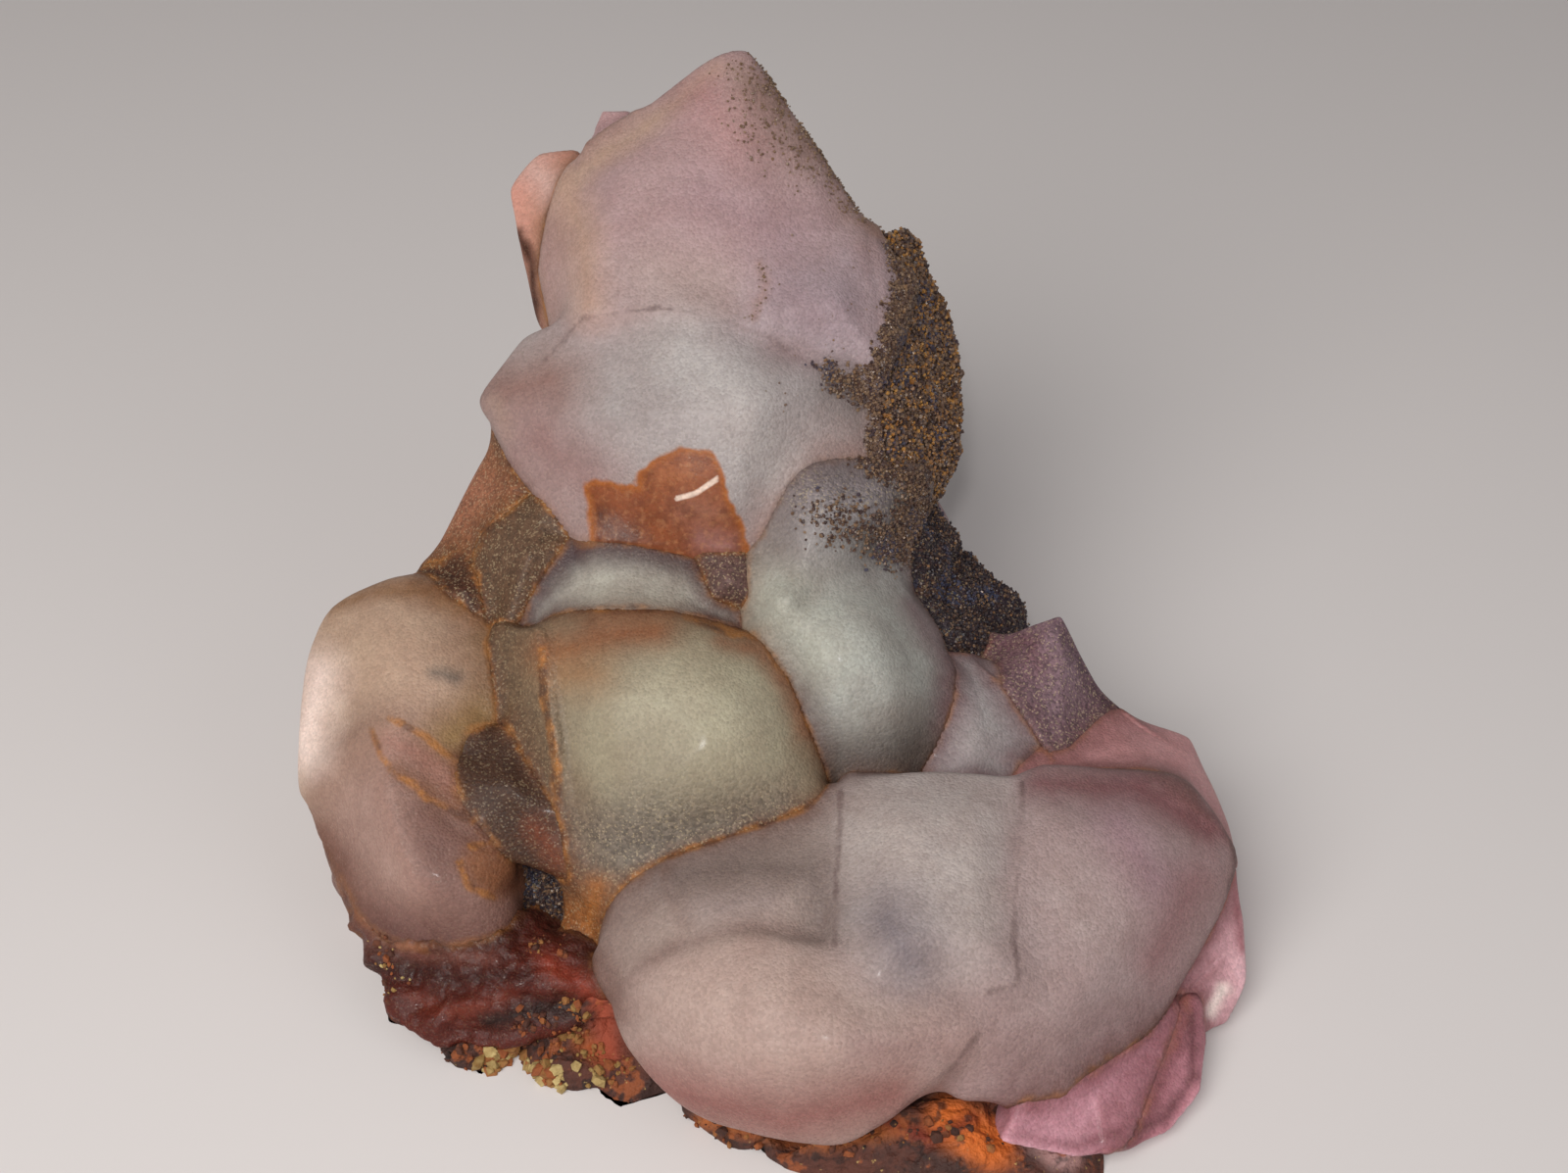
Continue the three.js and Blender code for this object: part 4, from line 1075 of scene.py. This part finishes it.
# Painted glints: a few fine grains are lightened in the base colour for the sparkle of their facets, and
# made smoother.
points = {"Vector": at, "Scale": grains_per(GLINTS)}
glint_colour = shader.node("TexVoronoi", {}, points, out="Color")
glint = shader.node("SeparateColor", {}, {"Color": glint_colour}, out=0).between(0.8, 0.95)
colour = colour.to(seen((196, 176, 140)), glint * (sparkle * 0.36 + 0.05))
height = (1 - sugar * 1.2) * (1 - bare * 0.8)
shader.tree.links.new(colour.socket, skin.inputs["Base Color"])
roughness = 0.6 - glint * 0.2 - bare * 0.2 + (cloud(1.1) - 0.5) * 0.2
shader.tree.links.new(roughness.socket, skin.inputs["Roughness"])
bumps = {"Height": height, "Distance": SUGAR_HEIGHT * MM, "Strength": 0.8}
shader.tree.links.new(shader.node("Bump", {}, bumps).socket, skin.inputs["Normal"])
skin.inputs["Subsurface Weight"].default_value = 0.5
skin.inputs["Subsurface Scale"].default_value = 2 * MM
skin.inputs["Subsurface Radius"].default_value = (1.0, 0.85, 0.85)
skin.inputs["IOR"].default_value = 1.54
skin.inputs["Specular IOR Level"].default_value = 0.27
skin.inputs["Coat Weight"].default_value = 0.05
skin.inputs["Coat Roughness"].default_value = 0.12

for piece, *_ in grown.values():
    piece.data.materials.clear()
    piece.data.materials.append(quartz_finish)
    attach(piece, "root")
    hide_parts("quartz_cluster")

# The druse: small dark iron-coated crystals that crust the right flank and the steps, thin out over the
# edge of the crown and the collar, and line the cavity at the left. Each is a many-faced grain grown into
# the surface.
chance = np.random.default_rng(41)


def grain_mesh():
    """One grain: a small blunt crystal with a few faces."""
    bm = bmesh.new()
    bmesh.ops.create_uvsphere(bm, u_segments=4, v_segments=3, radius=1)
    mesh = bpy.data.meshes.new("grain")
    bm.to_mesh(mesh)
    bm.free()
    return mesh


def copies_of(grain, number, name):
    """The grain's mesh a number of times over, doubled for each binary digit of the number."""
    mesh = bpy.data.meshes.new(name)
    for digit in format(number, "b"):
        bm = bmesh.new()
        bm.from_mesh(mesh)
        bm.from_mesh(mesh)
        if digit == "1":
            bm.from_mesh(grain)
        bm.to_mesh(mesh)
        bm.free()
    return mesh


def strewn(name, grain, places, sizes, tones):
    """Copies of a grain at the places, each turned its own way, as one piece."""
    corners = places_of(grain)
    turns = chance.normal(size=(len(places), 4))
    turns /= np.linalg.norm(turns, axis=1)[:, None]
    w, x, y, z = turns.T
    turned = np.array([
        [1 - 2 * (y * y + z * z), 2 * (x * y - z * w), 2 * (x * z + y * w)],
        [2 * (x * y + z * w), 1 - 2 * (x * x + z * z), 2 * (y * z - x * w)],
        [2 * (x * z - y * w), 2 * (y * z + x * w), 1 - 2 * (x * x + y * y)],
    ]).transpose(2, 0, 1)
    shapes = np.broadcast_to(corners, (len(places), *corners.shape)) * sizes[:, None, None]
    shapes = shapes * chance.uniform(0.75, 1.25, (len(places), 1, 3))
    spots = np.einsum("nij,nkj->nki", turned, shapes) + places[:, None, :]
    mesh = copies_of(grain, len(places), name)
    put_places(mesh, inside_frame(spots.reshape(-1, 3)))
    set_attribute(mesh, "tone", np.repeat(tones, len(corners)))
    return new_object(name, mesh)


JUST_BURIED = -0.1
FAINTEST = 1e-9
SCATTER = 0.22
FLATTENED = 0.6


def picked(piece, cover, number):
    """Some of a piece's vertices, the likelier the stronger the cover there, and only where it shows."""
    shown = get_attribute(piece.data, "gap") > JUST_BURIED
    likely = cover * shown + FAINTEST
    chosen = chance.choice(len(likely), number, p=likely / likely.sum())
    normals = places_of(piece.data, "normal")[chosen]
    scatter = chance.normal(size=(number, 3)) * SCATTER
    scatter -= normals * (scatter * normals).sum(1)[:, None] * FLATTENED
    return places_of(piece.data)[chosen] + scatter


def facing(piece, direction):
    """How squarely each vertex faces a direction."""
    towards = np.array(direction, float)
    return places_of(piece.data, "normal") @ (towards / np.linalg.norm(towards))


fine_grain = grain_mesh()
flank_cover = np.clip(0.25 + facing(flank, (1, -0.6, 0.5)), 0, 1)
flank_places = picked(flank, flank_cover, 8600)
flank_sizes = chance.uniform(0.15, 0.29, len(flank_places))
druse = strewn("druse", fine_grain, flank_places, flank_sizes, chance.uniform(0.1, 1, len(flank_places)))
FRINGES = [
    (tower, [(11.6, 35), (11.6, 31), (10.6, 26), (9.6, 22.6)], 0.2, 1.4, 900),
    (tower, [(13.4, 35.4), (13.6, 31), (12.6, 26.4), (11.2, 22.6)], 1.4, 0.8, 2600),
    (tower, [(10, 21.6), (10.4, 17.6), (10.2, 13.6)], 0.9, 1.4, 1100),
    (tower, [(4.6, 21.8), (7.4, 20.4), (10.6, 18.4)], 0.6, 1.8, 560),
    (pearls, [(9, 13.4), (13.4, 11), (14, 8), (11, 3.6)], 0.8, 2.6, 2000),
    (pearls, [(4, 7), (9, 5.4)], 1.2, 3, 460),
]
fringe_places = np.concatenate([
    picked(piece, mask_on(piece, path, width=width, soft=soft, ragged=1.2) ** 1.5, number)
    for piece, path, width, soft, number in FRINGES
])
fringe_sizes = chance.uniform(0.12, 0.24, len(fringe_places))
fringe_tones = chance.uniform(0.15, 0.75, len(fringe_places))
fringe_druse = strewn("fringe_druse", fine_grain, fringe_places, fringe_sizes, fringe_tones)

DARK_NUMBERS = ((step_upper, 2000), (step_lower, 2600), (step_front, 1500), (cavity, 900))
dark_places = np.concatenate([
    picked(piece, np.clip(0.3 + facing(piece, (0.6, -0.8, 0.7)), 0, 1), number)
    for piece, number in DARK_NUMBERS
])
dark_sizes = chance.uniform(0.11, 0.22, len(dark_places))
dark_tones = chance.random(len(dark_places)) ** 3 * 0.8
dark_druse = strewn("dark_druse", fine_grain, dark_places, dark_sizes, dark_tones)

SPECKLED = [
    (-6.6, 52.6), (-3.1, 54.5), (0.4, 50.5), (5, 44.7), (7.9, 39), (5, 39.9), (0.4, 42.8), (-3, 43.6),
    (-5.4, 47),
]
specks = mask_on(tower, SPECKLED, closed=True, soft=1.4, ragged=2.4)
speck_places = picked(tower, specks, 1000)
CROWN_EDGE = [(-1.4, 52.4), (1.6, 48.6), (5, 43.4), (8.4, 38.4)]
edge_specks = mask_on(tower, CROWN_EDGE, width=0.5, soft=1.4, ragged=2)
speck_places = np.concatenate([speck_places, picked(tower, edge_specks, 700)])
dots = mask_on(tower, [(-2.6, 33), (-1.8, 31), (-3, 27.5)], width=0.2, soft=0.8)
stray = mask_on(tower, [(0, 33), (6, 29), (0, 20)], width=3, soft=4)
speck_places = np.concatenate([speck_places, picked(tower, dots, 34), picked(tower, stray, 40)])
speck_sizes = chance.uniform(0.08, 0.17, len(speck_places))
speck_tones = chance.uniform(0.5, 0.72, len(speck_places))
speckles = strewn("specks", fine_grain, speck_places, speck_sizes, speck_tones)

druse_finish, shader, skin = finish_of("iron druse")
at = shader.node("TexCoord", {}, {}, out="Object")
grain_tone = attribute("tone")
hue = shader.node("ValToRGB", {}, {"Fac": grain_tone})
ramp = hue.socket.node.color_ramp
ramp.elements[0].color = seen((36, 27, 34))
ramp.elements[1].color = seen((172, 126, 66))
DRUSE_TONES = ((0.3, (72, 50, 42)), (0.5, (100, 76, 60)), (0.7, (122, 98, 76)), (0.85, (134, 88, 44)))
for place, colour in DRUSE_TONES:
    ramp.elements.new(place).color = seen(colour)
blue = cloud(5, 1).between(0.52, 0.6)
bluish = (1 - grain_tone * 1.7).maths("MAXIMUM", 1 - grain_tone * 1.7, 0) * blue * 0.8
shader.tree.links.new(hue.to(seen((56, 60, 84)), bluish).socket, skin.inputs["Base Color"])
shader.tree.links.new((0.5 - grain_tone * 0.25).socket, skin.inputs["Roughness"])
for piece in (druse, fringe_druse, dark_druse, speckles):
    piece.data.materials.append(druse_finish)
    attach(piece, "root")

# The rock: the dark, iron-stained remnant that the quartz grew on, broken into lumps and pitted, with
# orange and yellow patches. It shows at the lower left and along the bottom of the front.
LUMPS = [
    ((-3, -6, -1), (82, 74, 13), 8, 0),
    ((-31, -23, 1), (20, 15, 12), -34, 14),
    ((-34, -30, 0), (13, 9, 7), 12, -16),
    ((-24, -31, 2), (17, 12, 13), -58, -12),
    ((-15, -34, 3), (15, 12, 13), 24, 16),
    ((-29, -35, 0), (11, 9, 8), 40, 18),
    ((-21, -38, 0), (11, 8, 7), -20, -14),
    ((-14, -40, -1), (10, 7, 9), 12, 10),
    ((-5, -43, 1), (14, 10, 11), -34, 12),
    ((4, -48, 0), (15, 9, 10), -22, -12),
    ((14, -49, 1), (16, 11, 10), 6, 10),
    ((24, -48, 0), (13, 12, 8), 34, -8),
    ((18, -36, 2), (40, 26, 13), 10, 0),
    ((-36, -12, 1), (18, 18, 11), 18, -12),
    ((-30, 8, 1), (20, 16, 12), 46, 8),
    ((-22, 25, 2), (22, 18, 14), 24, 10),
    ((-6, 33, 1), (24, 16, 12), -10, 14),
    ((10, 27, 2), (20, 18, 13), -32, -10),
    ((22, 10, 1), (18, 24, 11), 34, 6),
    ((32, -14, 0), (18, 26, 10), 12, 8),
]
LUMP_CORNERS = 17
SQUARENESS = 3
CHIPPING = 0.24
ROCK_VOXEL = 0.5
PIT_RIM = 1.2
PIT_DEPTH = 2.6
PITS = [
    ((-17, -39, 5), (7, 6, 5), 20, 20),
    ((-24, -36, 5), (7, 5, 5), -25, 0),
    ((-31, -31, 5), (6, 5, 4), 40, 10),
    ((0, -49, 3), (6, 5, 3), 10, 0),
]


def lump(at, size, turn, tilt):
    """A lump of broken rock: corners spread evenly over a boxy egg, each knocked in by its own amount."""
    turned = Matrix.Rotation(math.radians(turn), 3, "Z") @ Matrix.Rotation(math.radians(tilt), 3, "X")
    golden_turn = math.pi * (3 - math.sqrt(5))
    corners = []
    for i in range(LUMP_CORNERS):
        up = 1 - (2 * i + 1) / LUMP_CORNERS
        out = math.sqrt(1 - up * up)
        corner = np.array((out * math.cos(i * golden_turn), out * math.sin(i * golden_turn), up))
        boxy = (abs(corner) ** SQUARENESS).sum() ** (-1 / SQUARENESS)
        chipped = 1 - CHIPPING * chance.random()
        corners.append(np.array(turned @ Vector(corner * boxy * chipped * np.array(size) / 2)) + at)
    return corners


bm = bmesh.new()
for at_place, size, turn, tilt in LUMPS:
    verts = [bm.verts.new(corner) for corner in lump(np.array(at_place), size, turn, tilt)]
    hull = bmesh.ops.convex_hull(bm, input=verts)
    bmesh.ops.delete(bm, geom=list(set(hull["geom_interior"] + hull["geom_unused"])), context="VERTS")
bmesh.ops.recalc_face_normals(bm, faces=bm.faces)
rock_mesh = remeshed(bm, ROCK_VOXEL)
bm.free()
rock_mesh.name = "rock"
places = places_of(rock_mesh)
lumpy, ridged, gritty = noise_at(places, 5, 5), abs(noise_at(places, 2.2, 6)), noise_at(places, 0.9, 7)
rough = lumpy * 0.5 + ridged * 0.6 + gritty * 0.25
push = (rough - 0.35) * np.clip(places[:, 2] / 2, 0.25, 1)
for at_place, size, turn, tilt in PITS:
    away = np.linalg.norm((places - np.array(at_place)) / (np.array(size) / 2), axis=1)
    push -= np.clip(PIT_RIM - away, 0, 1) * PIT_DEPTH
put_places(rock_mesh, inside_frame(places + places_of(rock_mesh, "normal") * push[:, None]))
rock = new_object("rock", rock_mesh)
places = places_of(rock_mesh)
set_attribute(rock_mesh, "gap", np.min([height_over(stone, places) for stone in stones], axis=0))
for layer, colour in (("core", (84, 44, 32)), ("rim", (56, 28, 20))):
    set_attribute(rock_mesh, layer, np.tile(seen(colour), (len(places), 1)), "FLOAT_COLOR")
stains(rock, [
    ((24, 14, 12), [(-24, -43.5), (-21.5, -44)], 0.6, 1.2),
    ((168, 84, 34), [(-20.5, -46.5), (-18.5, -48)], 0.8, 1.2),
    ((186, 160, 92), [(-29, -50.5), (-25, -51)], 1.0, 1.2),
    ((150, 66, 42), [(-20.5, -38.5), (-18.5, -43), (-17.8, -48)], 1.2, 1.2),
    ((128, 70, 62), [(-40, -41), (-32, -40), (-25, -41)], 1.2, 2, 0.7),
    ((150, 132, 76), [(-41.3, -37), (-40.2, -40.6)], 0.6, 0.8),
    ((172, 96, 44), [(-8, -54.5), (4, -56.5), (12, -55)], 0.8, 1.2),
    ((206, 104, 36), [(17, -54.5), (21, -57)], 2.4, 1.5),
    ((112, 36, 16), [(9, -54), (15, -56.4), (19, -54.4)], 0.6, 1),
    ((176, 136, 132), [(26, -55.5), (28.5, -57.5)], 1.8, 1.5),
])

rock_finish, shader, skin = finish_of("rusty rock")
at = shader.node("TexCoord", {}, {}, out="Object")
broad = cloud(5, 4)
fine = cloud(0.9, 4)
patches = (broad + (fine - 0.5) * 0.5).between(0.35, 0.6)
colour = attribute("rim", "Color").to(attribute("core", "Color"), patches)
colour = colour.to(seen((150, 78, 36)), (cloud(2.6, 5) + (fine - 0.5) * 0.4).between(0.58, 0.68) * 0.7)
colour = colour.to(seen((26, 16, 14)), cloud(1.7, 5).between(0.56, 0.66) * 0.7)
colour = colour.to(seen((188, 158, 96)), cloud(0.7, 3).between(0.68, 0.74) * 0.6)
shader.tree.links.new(colour.socket, skin.inputs["Base Color"])
shader.tree.links.new((0.55 + broad * 0.4).socket, skin.inputs["Roughness"])
bumps = {"Height": cloud(0.6, 5) + cloud(2, 4), "Distance": 0.5 * MM, "Strength": 0.9}
shader.tree.links.new(shader.node("Bump", {}, bumps).socket, skin.inputs["Normal"])
rock.data.materials.append(rock_finish)
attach(rock, "root")
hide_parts("rusty_rock")

# The crumbs: chips of rust, yellow ochre and dark rock. They cling to the rock's broken edge and to the
# foot of the left lobe.
CRUMBS = [
    (rock, [(-29.4, -48.4), (-26.6, -50), (-23.6, -50.6)], 1.5, 170, 0.45, 1, 0.9),
    (rock, [(-20.6, -49.4), (-18.6, -50)], 0.6, 10, 0.75, 0.9, 0.9),
    (rock, [(-21.8, -46.4), (-19, -47.6), (-17.4, -49)], 1.4, 60, 0.45, 0.75, 0.6),
    (rock, [(-36, -46), (-30, -48), (-24, -47)], 1.6, 120, 0, 0.6, 0.6),
    (rock, [(-9, -54.6), (4, -57), (16, -55.6), (22, -57)], 1.4, 90, 0, 0.7, 0.6),
    (foot, [(-41.6, -34.6), (-40.6, -38), (-39.4, -41.6)], 0.7, 46, 0.2, 1, 0.5),
    (foot, [(-27, -44.6), (-21, -45)], 1.0, 60, 0.1, 0.6, 0.5),
    (foot, [(-22, -42.6), (-19.6, -45)], 0.8, 40, 0.5, 0.75, 0.45),
    (foot, [(-25, -36.8), (-22.6, -37.2)], 0.6, 36, 0.15, 0.7, 0.35),
]
bm = bmesh.new()
chip = bmesh.ops.create_icosphere(bm, subdivisions=1, radius=1)["verts"]
for vert in chip:
    vert.co *= chance.uniform(0.7, 1.25)
chip_mesh = bpy.data.meshes.new("chip")
bm.to_mesh(chip_mesh)
bm.free()
crumb_places = []
crumb_sizes = []
crumb_tones = []
for piece, path, width, number, dullest, brightest, size in CRUMBS:
    crumb_places.append(picked(piece, mask_on(piece, path, width=width, soft=0.7, ragged=0.6), number))
    crumb_sizes.append((0.2 + 0.8 * chance.random(len(crumb_places[-1])) ** 2.5) * size)
    crumb_tones.append(chance.uniform(dullest, brightest, len(crumb_places[-1])))
crumb_places, crumb_sizes, crumb_tones = map(np.concatenate, (crumb_places, crumb_sizes, crumb_tones))
crumbs = strewn("crumbs", chip_mesh, crumb_places, crumb_sizes, crumb_tones)

crumb_finish, shader, skin = finish_of("ochre crumbs")
at = shader.node("TexCoord", {}, {}, out="Object")
hue = shader.node("ValToRGB", {}, {"Fac": attribute("tone") + (cloud(0.5, 3) - 0.5) * 0.3})
ramp = hue.socket.node.color_ramp
ramp.elements[0].color = seen((36, 22, 18))
ramp.elements[1].color = seen((188, 166, 112))
for place, colour in ((0.3, (84, 44, 28)), (0.55, (140, 74, 34)), (0.75, (140, 108, 58))):
    ramp.elements.new(place).color = seen(colour)
shader.tree.links.new(hue.socket, skin.inputs["Base Color"])
skin.inputs["Roughness"].default_value = 0.85
bumps = {"Height": cloud(0.35, 3), "Distance": 0.15 * MM, "Strength": 0.8}
shader.tree.links.new(shader.node("Bump", {}, bumps).socket, skin.inputs["Normal"])
crumbs.data.materials.append(crumb_finish)
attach(crumbs, "root")

# The whole specimen: all the shapes above are in millimetres, and the frame is in metres, so every piece is
# scaled down about the shared origin.
quartz = [entry[0] for entry in grown.values()]
for piece in [*quartz, druse, fringe_druse, dark_druse, speckles, rock, crumbs]:
    piece.data.transform(Matrix.Scale(MM, 4))

# A plain pale floor and soft studio light: a broad lamp above and to the left, a weak fill from the right,
# and a small one by the eye, which gives the pearls their small highlights.
bm = bmesh.new()
bmesh.ops.create_grid(bm, x_segments=2, y_segments=2, size=3)
floor_mesh = bpy.data.meshes.new("floor")
bm.to_mesh(floor_mesh)
bm.free()
floor = new_object("floor", floor_mesh)
floor_finish, shader, skin = finish_of("floor")
skin.inputs["Base Color"].default_value = seen((214, 208, 206))
skin.inputs["Roughness"].default_value = 0.8
floor.data.materials.append(floor_finish)

AIM = (0, 0, 0.02)
LAMPS = [
    ("above", (-0.24, -0.36, 0.44), 0.5, 3.1, (1, 0.985, 0.96)),
    ("fill", (0.45, -0.3, 0.3), 0.5, 0.5, (0.97, 0.97, 1)),
    ("flash", (-0.01, -0.2, 0.22), 0.016, 0.16, (1, 1, 1)),
]
for name, place, size, power, colour in LAMPS:
    lamp = bpy.data.objects.new(name, bpy.data.lights.new(name, "AREA"))
    lamp.data.shape = "DISK"
    lamp.data.size = size
    lamp.data.energy = power
    lamp.data.color = colour
    lamp.location = place
    lamp.rotation_euler = (Vector(AIM) - Vector(place)).to_track_quat("-Z", "Y").to_euler()
    bpy.context.scene.collection.objects.link(lamp)
world = bpy.data.worlds.new("studio")
world.use_nodes = True
world.node_tree.nodes["Background"].inputs["Color"].default_value = (0.9, 0.88, 0.88, 1)
world.node_tree.nodes["Background"].inputs["Strength"].default_value = 0.24
bpy.context.scene.world = world
bpy.context.scene.view_settings.view_transform = "Standard"
